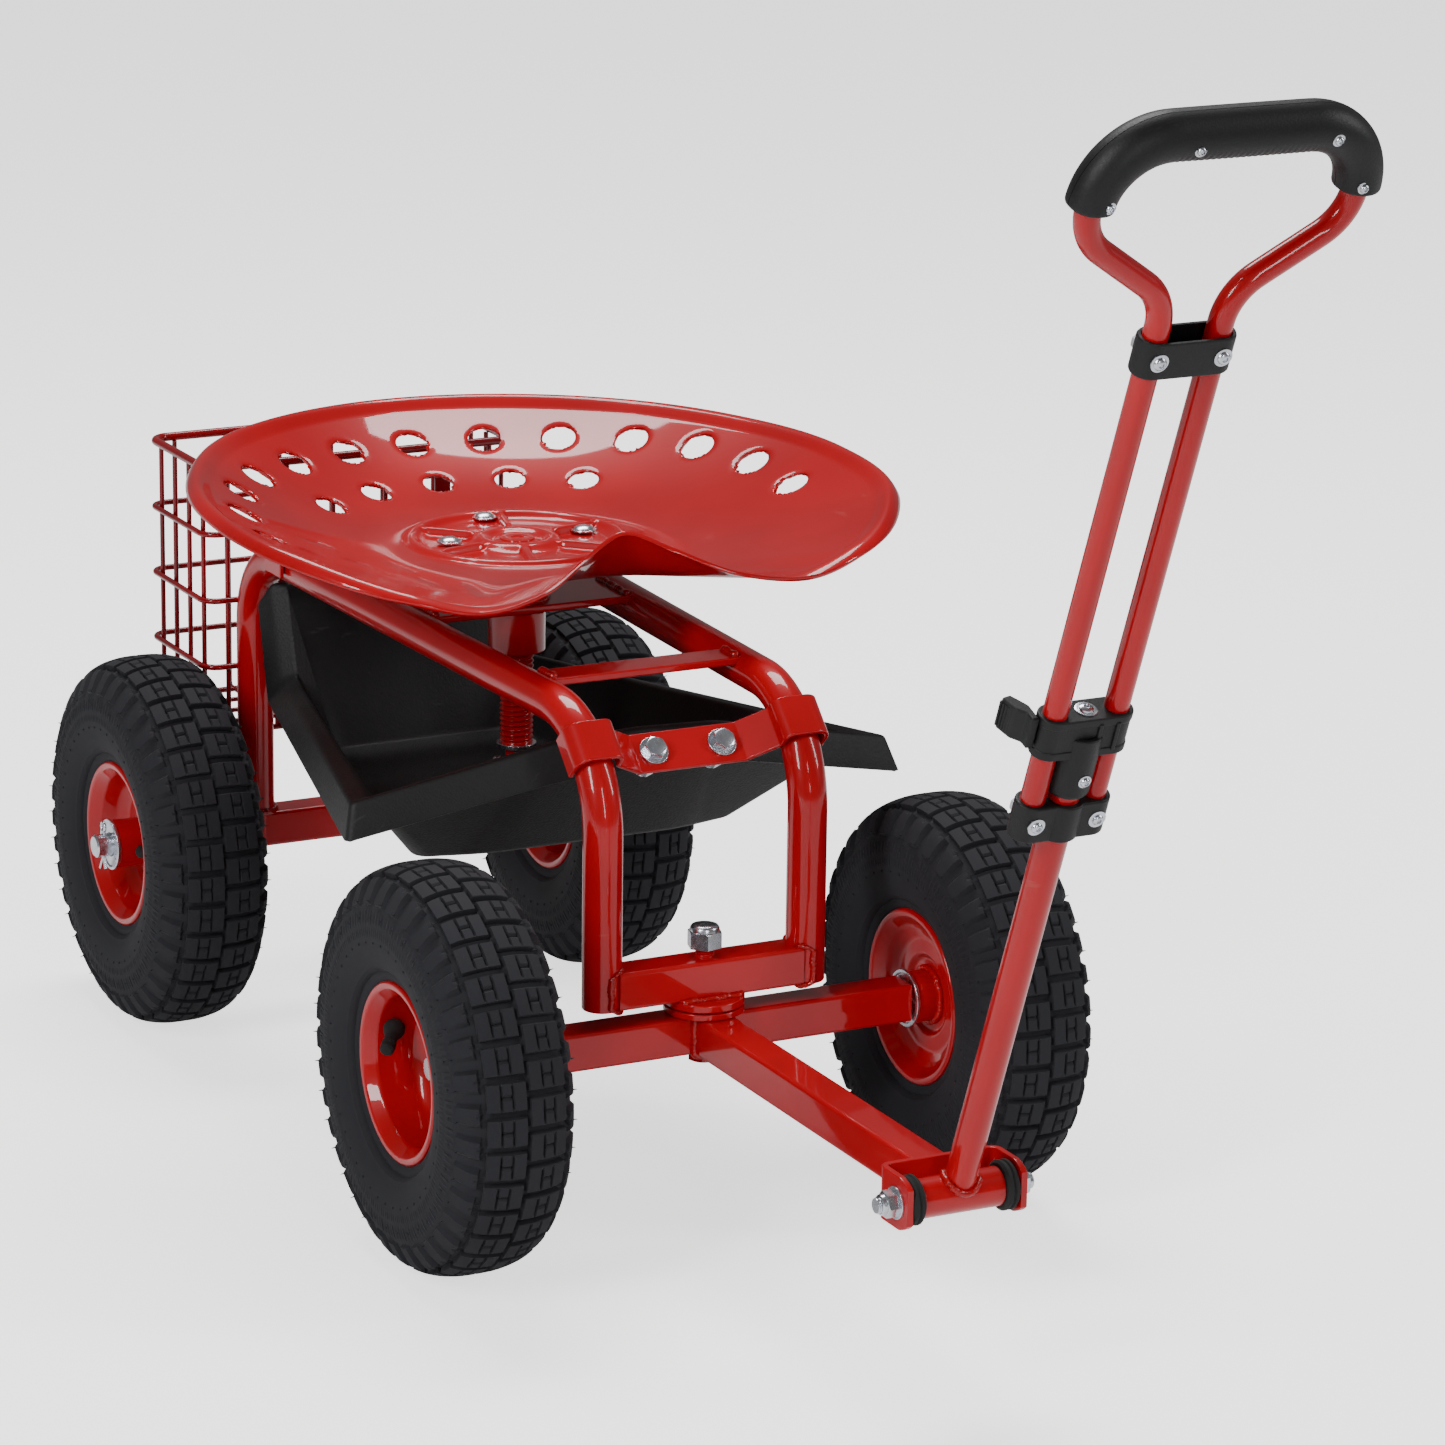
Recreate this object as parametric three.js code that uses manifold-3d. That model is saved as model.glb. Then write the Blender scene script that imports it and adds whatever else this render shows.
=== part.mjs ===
// Rolling garden work seat: a four-wheeled cart with a steered front axle, a telescopic pull
// handle, a screw-lifted pan seat, a tool tray under the rails and a wire basket at the rear.
// Millimetres, +Z up, the handle at -Y, wheels standing on Z = 0, X = 0 the plane of symmetry.

import * as THREE from 'three';
import Module from 'manifold-3d';
import { mergeVertices } from 'three/addons/utils/BufferGeometryUtils.js';

const wasm = await Module();
wasm.setup();

// ---------------------------------------------------------------- driving dimensions

const GAP = 0.3;                                  // between pieces that touch
const ORIGIN_Y = 24.6;                            // king pin to the middle of the whole length

const WHEEL = { radius: 130, halfWidth: 41, lipRadius: 57.3, lipOffset: 31.4, hubInner: -34, hubRadius: 17 };
// Hub end and web, measured outward from the middle of the wheel. The front rims are deep dishes.
const DISH = { front: { hubOuter: -4, web: -13 }, rear: { hubOuter: 34, web: 0 } };
const AXLE = { height: 130, rodRadius: 8, wheelbase: 530.5, frontTrack: 181.5, rearTrack: 164.3 };
const BAR = 25;                                   // square tube of the axles and the front crossbar
const TUBE = { radius: 12.7, frontX: 72, rearX: 89.5, railZ: 336, frontBend: 70, rearBend: 55 };
const LEG_BOTTOM = { front: 153, rear: 118.5 };
const DISC = { radius: 26, thickness: 5 };
const KING_PIN = { radius: 6, hexAcross: 22, bareThread: 6 };
const CROSSBAR_Z = 153.4;
const PLATE = { seatY: 285, seatDepth: 55, thickness: 5, midY: 98, midDepth: 25, topZ: 346 };
const NUT = { radius: 19.25, topZ: 351, bottomZ: 310 };
const SCREW = { radius: 11.5, tipRadius: 7.5, shoulderZ: 246, bottomZ: 229 };
const SWIVEL = { radius: 72, bottomZ: 374, thickness: 6 };
const SEAT = { centreY: 268, floorZ: 386, sheet: 3, floorRadius: 84, bossRadius: 22 };
const CLEVIS = { backY: -307, plate: 4, halfWidth: 40, halfHeight: 16.5, pivotY: -331, pivotZ: 131 };
const BARREL = { radius: 12, halfLength: 27, ringRadius: 15.2, ringLength: 8.2, boltRadius: 5 };
const HANDLE = { lean: 21.7, tubeRadius: 9.5, tubeTop: 344, loopRadius: 7.25, loopHalf: 19.5 };
const LOOP = { bottom: 270, flareAt: 620, shoulderAt: 662, top: 720, halfWidth: 80.5, gripFrom: 680, gripRadius: 13.2 };
const CLAMP = { bottomAt: 280, sliderAt: 338, collarAt: 586, sideRadius: 10, coreRadius: 13.4 };
const TRAY = { wall: 3, middleY: 290 };
const BASKET = { halfWidth: 121, frontY: 546, rearY: 657, bottomZ: 194, topZ: 391, wall: 1.5 };

// ---------------------------------------------------------------- finishes

const finish = (color, roughness, metalness) => () =>
  new THREE.MeshStandardMaterial({ color, roughness, metalness });
const redPaint = finish(0xc4090f, 0.22, 0.2);
const darkRedPaint = finish(0x8e0d14, 0.35, 0.2);
const zinc = finish(0xb9bcc2, 0.28, 0.9);
const blackPlastic = finish(0x1a1a1b, 0.5, 0.0);
const trayPlastic = finish(0x141415, 0.7, 0.0);
const tyreRubber = finish(0x131415, 0.55, 0.0);
const softRubber = finish(0x101011, 0.6, 0.0);

// ---------------------------------------------------------------- solids and booleans

function signedVolume(geometry) {
  const p = geometry.attributes.position;
  const index = geometry.index;
  const [a, b, c] = [new THREE.Vector3(), new THREE.Vector3(), new THREE.Vector3()];
  let volume = 0;
  for (let i = 0; i < index.count; i += 3) {
    a.fromBufferAttribute(p, index.getX(i));
    b.fromBufferAttribute(p, index.getX(i + 1));
    c.fromBufferAttribute(p, index.getX(i + 2));
    volume += a.dot(b.cross(c)) / 6;
  }
  return volume;
}

// Shared vertices merged and faces turned outwards, ready for a boolean.
function closed(geometry) {
  const bare = geometry.clone();
  bare.deleteAttribute('normal');
  bare.deleteAttribute('uv');
  const merged = mergeVertices(bare, 1e-3);
  if (signedVolume(merged) < 0) {
    const flipped = merged.index.array.slice();
    for (let i = 0; i < flipped.length; i += 3) {
      [flipped[i + 1], flipped[i + 2]] = [flipped[i + 2], flipped[i + 1]];
    }
    merged.setIndex(new THREE.BufferAttribute(flipped, 1));
  }
  return merged;
}

function solid(geometry) {
  const g = closed(geometry);
  const vertProperties = new Float32Array(g.attributes.position.array);
  const triVerts = new Uint32Array(g.index.array);
  return new wasm.Manifold(new wasm.Mesh({ numProp: 3, vertProperties, triVerts }));
}

function surface(manifold) {
  const mesh = manifold.getMesh();
  const g = new THREE.BufferGeometry();
  g.setAttribute('position', new THREE.BufferAttribute(new Float32Array(mesh.vertProperties), 3));
  g.setIndex(new THREE.BufferAttribute(new Uint32Array(mesh.triVerts), 1));
  return g;
}

const join = (...pieces) => surface(pieces.map(solid).reduce((a, b) => a.add(b)));
const cut = (piece, ...tools) => surface(tools.map(solid).reduce((a, b) => a.subtract(b), solid(piece)));

// ---------------------------------------------------------------- shape helpers

function block(x0, x1, y0, y1, z0, z1) {
  return new THREE.BoxGeometry(x1 - x0, y1 - y0, z1 - z0)
    .translate((x0 + x1) / 2, (y0 + y1) / 2, (z0 + z1) / 2);
}

// Cylinder or prism about the line from one point to another.
function rod(from, to, radius, sides = 16, endRadius = radius) {
  const a = new THREE.Vector3(...from);
  const b = new THREE.Vector3(...to);
  const turn = new THREE.Quaternion().setFromUnitVectors(
    new THREE.Vector3(0, 1, 0), b.clone().sub(a).normalize());
  return new THREE.CylinderGeometry(endRadius, radius, a.distanceTo(b), sides)
    .applyQuaternion(turn)
    .translate((a.x + b.x) / 2, (a.y + b.y) / 2, (a.z + b.z) / 2);
}

// Ring, disc or wheel turned about the X axis; the profile is [x, radius] points and closes on itself.
function turned(profile, segments) {
  const points = profile.map(([x, r]) => new THREE.Vector2(r, x));
  if (profile[0][1] > 0) {
    points.push(points[0].clone());
  }
  return new THREE.LatheGeometry(points, segments).rotateZ(-Math.PI / 2);
}

const turnedUp = (profile, segments) => turned(profile, segments).rotateY(-Math.PI / 2);

const washerX = (x0, x1, outer, inner, sides = 14) =>
  turned([[x0, inner], [x1, inner], [x1, outer], [x0, outer]], sides);

const washerZ = (z0, z1, outer, inner, sides = 14) =>
  turnedUp([[z0, inner], [z1, inner], [z1, outer], [z0, outer]], sides);

// A path given by its stations, so that straight runs need no more sections than their ends.
class StationPath extends THREE.Curve {
  constructor(stations) {
    super();
    this.stations = stations;
  }

  get steps() {
    return this.stations.length - 1;
  }

  getPointAt(u, target = new THREE.Vector3()) {
    return target.copy(this.stations[Math.round(u * this.steps)]);
  }

  getTangentAt(u, target = new THREE.Vector3()) {
    const i = Math.round(u * this.steps);
    const before = this.stations[Math.max(i - 1, 0)];
    const here = this.stations[i];
    const after = this.stations[Math.min(i + 1, this.steps)];
    const incoming = here.clone().sub(before).normalize();
    const outgoing = after.clone().sub(here).normalize();
    return target.copy(incoming).add(outgoing).normalize();
  }
}

// Polyline with each inner corner rounded to a radius, as stations along it.
function rounded(corners, radii, stepDegrees = 15) {
  const points = corners.map((c) => new THREE.Vector3(...c));
  const stations = [points[0]];
  for (let i = 1; i < points.length - 1; i += 1) {
    const into = points[i].clone().sub(points[i - 1]).normalize();
    const out = points[i + 1].clone().sub(points[i]).normalize();
    const angle = into.angleTo(out);
    const setback = radii[i - 1] * Math.tan(angle / 2);
    const start = points[i].clone().addScaledVector(into, -setback);
    const inward = out.clone().addScaledVector(into, -out.dot(into)).normalize();
    const centre = start.clone().addScaledVector(inward, radii[i - 1]);
    const steps = Math.max(1, Math.round(THREE.MathUtils.radToDeg(angle) / stepDegrees));
    for (let k = 0; k <= steps; k += 1) {
      const t = (angle * k) / steps;
      stations.push(centre.clone()
        .addScaledVector(inward, -radii[i - 1] * Math.cos(t))
        .addScaledVector(into, radii[i - 1] * Math.sin(t)));
    }
  }
  stations.push(points[points.length - 1]);
  return new StationPath(stations);
}

function polygon(points) {
  return new THREE.Shape(points.map(([x, y]) => new THREE.Vector2(x, y)));
}

function circle(radius, sides) {
  const at = (i) => [Math.cos((2 * Math.PI * i) / sides) * radius, Math.sin((2 * Math.PI * i) / sides) * radius];
  return polygon(Array.from({ length: sides }, (_, i) => at(i)));
}

const mirrored = (points) => points.slice().reverse().map(([x, y, z]) => [-x, y, z]);

const rectangle = (width, height) => polygon([
  [-width / 2, -height / 2], [width / 2, -height / 2], [width / 2, height / 2], [-width / 2, height / 2]]);

function swept(path, section) {
  return new THREE.ExtrudeGeometry(section, { steps: path.steps, extrudePath: path });
}

// Flat plate of an outline in the plane across X, between two X values; points are [y, z].
function plateAcrossX(points, x0, x1) {
  return new THREE.ExtrudeGeometry(polygon(points), { depth: x1 - x0, bevelEnabled: false })
    .applyMatrix4(new THREE.Matrix4().set(0, 0, 1, x0, 1, 0, 0, 0, 0, 1, 0, 0, 0, 0, 0, 1));
}

// Rounded bar seen along the handle: outline points are [x, y], carried from one height to another.
function plateUp(points, z0, z1) {
  return new THREE.ExtrudeGeometry(polygon(points), { depth: z1 - z0, bevelEnabled: false })
    .translate(0, 0, z0);
}

// Outline of a flat-sided loop with round ends.
function stadium(halfStraight, radius, stepsPerEnd = 6) {
  const points = [];
  for (const side of [1, -1]) {
    for (let i = 0; i <= stepsPerEnd; i += 1) {
      const t = -Math.PI / 2 + (Math.PI * i) / stepsPerEnd;
      points.push([side * (halfStraight + Math.cos(t) * radius), side * Math.sin(t) * radius]);
    }
  }
  return points;
}

// Sheet of a given thickness from its upper surface, a grid of points that closes on itself in u.
function sheet(point, countU, countV, thickness) {
  const at = (i, j) => point(i / countU, j / countV);
  const top = [];
  const normals = [];
  for (let j = 0; j <= countV; j += 1) {
    for (let i = 0; i < countU; i += 1) {
      top.push(at(i, j));
      const step = 1e-3;
      const du = point(i / countU + step, j / countV).sub(point(i / countU - step, j / countV));
      const v0 = Math.max(j / countV - step, 0.002);
      const dv = point(i / countU, v0 + step).sub(point(i / countU, v0 - step));
      normals.push(du.cross(dv).normalize());
    }
  }
  const count = top.length;
  const positions = [
    ...top.flatMap((p) => p.toArray()),
    ...top.flatMap((p, i) => p.clone().addScaledVector(normals[i], -thickness).toArray())];
  const index = [];
  const quad = (a, b, c, d) => index.push(a, b, c, a, c, d);
  const node = (i, j, layer) => layer * count + j * countU + (i % countU);
  for (let j = 0; j < countV; j += 1) {
    for (let i = 0; i < countU; i += 1) {
      quad(node(i, j, 0), node(i + 1, j, 0), node(i + 1, j + 1, 0), node(i, j + 1, 0));
      quad(node(i, j, 1), node(i, j + 1, 1), node(i + 1, j + 1, 1), node(i + 1, j, 1));
    }
  }
  for (let i = 0; i < countU; i += 1) {
    quad(node(i, 0, 1), node(i + 1, 0, 1), node(i + 1, 0, 0), node(i, 0, 0));
    quad(node(i, countV, 0), node(i + 1, countV, 0), node(i + 1, countV, 1), node(i, countV, 1));
  }
  const g = new THREE.BufferGeometry();
  g.setAttribute('position', new THREE.BufferAttribute(new Float32Array(positions), 3));
  g.setIndex(index);
  return g;
}

function add(parent, name, geometry, material) {
  const mesh = new THREE.Mesh(closed(geometry), material());
  mesh.name = name;
  parent.add(mesh);
}

// ---------------------------------------------------------------- chassis

// One side tube: front leg, rail and rear leg in one bent piece, in a plane that opens to the rear.
function sideTube(side, radius, sides) {
  const front = side * TUBE.frontX;
  const rear = side * TUBE.rearX;
  return swept(rounded([
    [front, 0, LEG_BOTTOM.front], [front, 0, TUBE.railZ],
    [rear, AXLE.wheelbase, TUBE.railZ], [rear, AXLE.wheelbase, LEG_BOTTOM.rear],
  ], [TUBE.frontBend, TUBE.rearBend]), circle(radius, sides));
}

const tubeSpace = [-1, 1].map((side) => sideTube(side, TUBE.radius + GAP, 14));
const railX = (y) => TUBE.frontX + ((TUBE.rearX - TUBE.frontX) * y) / AXLE.wheelbase;

// Flat plate between the rails, its ends cut to their round flanks.
function plateBetweenRails(y, depth, thickness, topZ) {
  const reach = railX(y) - 4;
  return cut(block(-reach, reach, y - depth / 2, y + depth / 2, topZ - thickness, topZ), ...tubeSpace);
}

// Bent strap that hooks over both rails and dips between them, standing on the plane Y = 0.
function traySaddle(halfRail, width, boltX, dip) {
  const over = TUBE.radius + 3 * GAP + 1.5;
  const bendAt = halfRail - over - 20;
  const path = rounded([
    [-halfRail - over, 0, -4], [-halfRail - over, 0, over], [-halfRail + over, 0, over],
    [-halfRail + over, 0, 3], [-bendAt, 0, dip], [bendAt, 0, dip],
    [halfRail - over, 0, 3], [halfRail - over, 0, over], [halfRail + over, 0, over],
    [halfRail + over, 0, -4],
  ], [over - 0.4, over - 0.4, 3, 4, 4, 3, over - 0.4, over - 0.4], 30);
  const strap = swept(path, rectangle(width, 3));
  const holes = [-boltX, boltX].map((x) => rod([x, 0, dip - 9], [x, 0, dip + 9], 4.4, 12));
  return cut(strap, ...holes);
}

// Hex-headed bolt with its nut drawn up below, about the local Z axis with its head seat at z = 0.
function trayBolt(grip) {
  return join(
    rod([0, 0, -grip - 9], [0, 0, 1], 4, 12),
    rod([0, 0, GAP], [0, 0, GAP + 5.3], 7.5, 6),
    rod([0, 0, -grip - GAP - 5], [0, 0, -grip - GAP], 7.5, 6));
}

// ---------------------------------------------------------------- tool tray

// Rim, skirt and floor lines of the tray as half outlines from the front middle to the rear middle.
const TRAY_LINES = {
  skirt: [[0, 84, 281], [60, 83, 279], [206, 106, 246], [110, 480, 216], [104, 505, 290], [0, 505, 290]],
  rim: [[0, 93, 304], [58, 92, 302], [198, 116, 271], [101, 472, 240], [95, 497, 315], [0, 497, 315]],
  inner: [[0, 101, 304], [55, 101, 302], [178, 129, 269], [84, 464, 242], [80, 488, 315], [0, 488, 315]],
  foot: [[0, 180, 207], [70, 180, 207], [114, 192, 207], [70, 436, 207], [62, 444, 207], [0, 444, 207]],
  floor: [[0, 232, 204], [40, 232, 204], [72, 240, 204], [46, 396, 204], [40, 404, 204], [0, 404, 204]],
};

function toolTray() {
  const full = (half) => {
    const right = half.map(([x, y, z]) => new THREE.Vector3(x, y, z));
    const left = half.slice(1, -1).reverse().map(([x, y, z]) => new THREE.Vector3(-x, y, z));
    return [...right, ...left];
  };
  const loops = Object.values(TRAY_LINES).map(full);
  const n = loops[0].length;
  // The under side: the skirt's and rim's points step inwards, the inner ones outwards and down.
  const layer = (drop) => loops.flatMap((loop, level) => loop.map((p) => {
    const outwards = p.clone().sub(new THREE.Vector3(0, TRAY.middleY, p.z)).normalize();
    return p.clone()
      .addScaledVector(outwards, level < 2 ? -drop : drop * 0.55)
      .add(new THREE.Vector3(0, 0, level === 0 ? 0 : -drop));
  }));
  const top = layer(0);
  const under = layer(TRAY.wall);
  const positions = [...top, ...under].flatMap((p) => p.toArray());
  const index = [];
  const quad = (a, b, c, d) => index.push(a, b, c, a, c, d);
  const node = (i, level, side) => side * top.length + level * n + (i % n);
  for (let level = 0; level < loops.length - 1; level += 1) {
    for (let i = 0; i < n; i += 1) {
      quad(node(i, level, 0), node(i + 1, level, 0), node(i + 1, level + 1, 0), node(i, level + 1, 0));
      quad(node(i, level, 1), node(i, level + 1, 1), node(i + 1, level + 1, 1), node(i + 1, level, 1));
    }
  }
  const last = loops.length - 1;
  for (let i = 0; i < n; i += 1) {
    quad(node(i, 0, 1), node(i + 1, 0, 1), node(i + 1, 0, 0), node(i, 0, 0));
  }
  for (let i = 1; i < n - 1; i += 1) {
    index.push(node(0, last, 0), node(i, last, 0), node(i + 1, last, 0));
    index.push(node(0, last, 1), node(i + 1, last, 1), node(i, last, 1));
  }
  const g = new THREE.BufferGeometry();
  g.setAttribute('position', new THREE.BufferAttribute(new Float32Array(positions), 3));
  g.setIndex(index);
  return g;
}

function buildTray(chassis, saddles) {
  const drills = saddles.flatMap(({ y, z, tilt }) => [-SADDLE_BOLT_X, SADDLE_BOLT_X].map((x) =>
    rod([0, 0, -30], [0, 0, 10], 4.4, 12).rotateX(tilt).translate(x, y, z)));
  add(chassis, 'tool_tray', cut(toolTray(), ...drills), trayPlastic);
}

// ---------------------------------------------------------------- rear basket

function wireBasket() {
  const { halfWidth, frontY, rearY, bottomZ, topZ, wall } = BASKET;
  const outline = (inset) => {
    const [w, f, r] = [halfWidth - inset, frontY + inset, rearY - inset];
    const c = 12 - inset * 0.4;
    return [[-w + c, f], [w - c, f], [w, f + c], [w, r - c], [w - c, r], [-w + c, r], [-w, r - c], [-w, f + c]];
  };
  return cut(plateUp(outline(0), bottomZ, topZ), plateUp(outline(wall), bottomZ + wall, topZ + 1));
}

// ---------------------------------------------------------------- wheels

const TYRE_PROFILE = [
  [-24, 52.4], [-34, 60], [-41, 88], [-37, 112], [-24, 126.5], [0, 130], [24, 126.5], [37, 112],
  [41, 88], [34, 60], [24, 52.4], [21, 52.4], [33, 88], [22, 117], [-22, 117], [-33, 88], [-21, 52.4]];

// Closed outline of the pressed rim and its hub: bore, hub, web, well and lip on each side. It runs from
// positive to negative X, and the outside of the wheel is on the side given.
function rimProfile(dish, side) {
  const { hubInner, hubRadius, lipRadius, lipOffset } = WHEEL;
  const { hubOuter, web } = dish;
  const outer = [
    [hubOuter, AXLE.rodRadius + GAP], [hubOuter, hubRadius], [web + 4, hubRadius], [web + 4, 41],
    [Math.max(web + 18, 16), 43], [lipOffset, lipRadius - 4], [lipOffset, lipRadius], [23, 49.5], [14, 46]];
  const inner = [
    [-14, 46], [-23, 49.5], [-lipOffset, lipRadius], [-lipOffset, lipRadius - 4], [Math.min(web, -4) - 14, 43],
    [web - 4, 41], [web - 4, hubRadius], [hubInner, hubRadius], [hubInner, AXLE.rodRadius + GAP]];
  const outline = [...outer, ...inner];
  return side > 0 ? outline : outline.map(([x, r]) => [-x, r]).reverse();
}

function wheel(parent, name, x, y, side, dish) {
  const hub = new THREE.Group();
  hub.position.set(x, y, AXLE.height);
  parent.add(hub);
  add(hub, `${name}_tyre`, turned(TYRE_PROFILE, 26), tyreRubber);
  add(hub, `${name}_rim`, turned(rimProfile(dish, side), 20), redPaint);
  const fixed = new THREE.Group();
  fixed.position.copy(hub.position);
  parent.add(fixed);
  const outerFace = dish.hubOuter + GAP;
  const innerFace = WHEEL.hubInner - GAP;
  const span = (from, to) => (side > 0 ? [from, to] : [-to, -from]);
  add(fixed, `${name}_outer_washer`, washerX(...span(outerFace, outerFace + 2.5), 18, 8.3), zinc);
  add(fixed, `${name}_inner_washer`, washerX(...span(innerFace - 2.5, innerFace), 19, 8.3), zinc);
  add(fixed, `${name}_cotter_pin`, cotterPin((dish.hubOuter + COTTER_PAST_HUB) * side, 8), zinc);
}

// Split pin across a rod along X: shank, eye and one opened leg, as one bent wire.
function cotterPin(x, rodRadius) {
  const r = 1.6;
  const reach = rodRadius + 3.5;
  return join(
    rod([x, 0, -reach - 6], [x, 0, reach], r, 8),
    rod([x, 0, reach + 3.6], [x, 0, reach - 0.6], 3.4, 10));
}

const COTTER_PAST_HUB = GAP + 2.5 + 3.8;
const END_PAST_HUB = COTTER_PAST_HUB + 7;

// Square beam with a round stub at each end, drilled for the cotter pins.
function axleBeam(track, dish) {
  const shoulder = track + WHEEL.hubInner - 2 * GAP - 2.5;
  const end = track + dish.hubOuter + END_PAST_HUB;
  const beam = block(-shoulder, shoulder, -BAR / 2, BAR / 2, -BAR / 2, BAR / 2);
  const stubs = rod([-end, 0, 0], [end, 0, 0], AXLE.rodRadius, 16);
  const holes = [-1, 1].map((side) => {
    const x = side * (track + dish.hubOuter + COTTER_PAST_HUB);
    return rod([x, 0, -12], [x, 0, 12], 1.95, 8);
  });
  return cut(join(beam, stubs), ...holes).translate(0, 0, AXLE.height);
}

// ---------------------------------------------------------------- seat

// Rim of the pan round its centre as [degrees from the rear, radius, height], down one side.
const SEAT_RIM = [
  [0, 238, 441], [35, 232, 441], [65, 225, 441], [92, 235, 437], [117, 247, 427], [136, 240, 409],
  [150, 220, 394], [163, 182, 399], [172, 152, 416], [180, 143, 424]];

function rimCurve() {
  const left = SEAT_RIM.slice(1, -1).reverse().map(([degrees, r, z]) => [-degrees, r, z]);
  const points = [...SEAT_RIM, ...left].map(([degrees, r, z]) => {
    const turn = THREE.MathUtils.degToRad(degrees);
    return new THREE.Vector3(Math.sin(turn) * r, Math.cos(turn) * r, z);
  });
  return new THREE.CatmullRomCurve3(points, true, 'centripetal');
}

const seatRim = rimCurve();

// Pan surface: u goes round the rim from the rear, v from the middle outwards.
function seatPoint(u, v) {
  const edge = seatRim.getPoint(u);
  const radius = Math.hypot(edge.x, edge.y);
  const r = SEAT.bossRadius + (radius - SEAT.bossRadius) * v;
  const t = Math.max(0, (r - SEAT.floorRadius) / (radius - SEAT.floorRadius));
  const rise = t * t * (1.35 - 0.35 * t);
  return new THREE.Vector3(
    (edge.x / radius) * r, (edge.y / radius) * r, SEAT.floorZ + (edge.z - SEAT.floorZ) * rise);
}

// Two rows of round holes through the back of the pan: count, step in degrees, row radius, hole radius.
const SEAT_HOLES = [
  { count: 13, step: 15.67, radius: 190, size: 11.5 },
  { count: 5, step: 20, radius: 146, size: 10.5 }];

function seatPan() {
  const pan = sheet(seatPoint, 40, 7, SEAT.sheet);
  const middle = rod([0, 0, SEAT.floorZ - SEAT.sheet], [0, 0, SEAT.floorZ], SEAT.bossRadius + 0.4, 40);
  const holes = [];
  const drill = (degrees, radius, size) => {
    const t = THREE.MathUtils.degToRad(degrees);
    holes.push(rod([Math.sin(t) * radius, Math.cos(t) * radius, 340],
      [Math.sin(t) * radius, Math.cos(t) * radius, 470], size, 8));
  };
  for (const row of SEAT_HOLES) {
    for (let i = 0; i < row.count; i += 1) {
      drill((i - (row.count - 1) / 2) * row.step, row.radius, row.size);
    }
  }
  return cut(join(pan, middle), ...holes);
}

// ---------------------------------------------------------------- handle

// Centreline of the loop from one foot to the other, or only of its top where the grip sits.
function loopPath(footZ) {
  const { flareAt, shoulderAt, top, halfWidth } = LOOP;
  const right = [
    [HANDLE.loopHalf, 0, footZ], [HANDLE.loopHalf, 0, flareAt], [halfWidth, 0, shoulderAt], [halfWidth, 0, top]];
  return rounded([...right, ...mirrored(right)], [22, 25, 24, 24, 25, 22], 18);
}

function gripPath(footZ) {
  const right = [[LOOP.halfWidth, 0, footZ], [LOOP.halfWidth, 0, LOOP.top]];
  return rounded([...right, ...mirrored(right)], [24, 24], 18);
}

function handleGrip(front) {
  const tube = swept(gripPath(LOOP.gripFrom), circle(LOOP.gripRadius, 12));
  const space = swept(gripPath(LOOP.gripFrom - 4), circle(HANDLE.loopRadius + GAP, 12));
  const half = front
    ? block(-120, 120, 0.15, 40, 600, 780)
    : block(-120, 120, -40, -0.15, 600, 780);
  return surface(solid(cut(tube, space)).intersect(solid(half)));
}

// ---------------------------------------------------------------- assembly

const SADDLE_BOLT_X = 24;
const diagonal = Math.SQRT1_2;
const FRONT_SADDLE = {
  y: TUBE.frontBend * (1 - diagonal),
  z: TUBE.railZ - TUBE.frontBend * (1 - diagonal),
  tilt: Math.PI / 4,
  dip: -11,
};
const REAR_SADDLE = { y: 462, z: TUBE.railZ, tilt: 0, dip: -14 };

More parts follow.
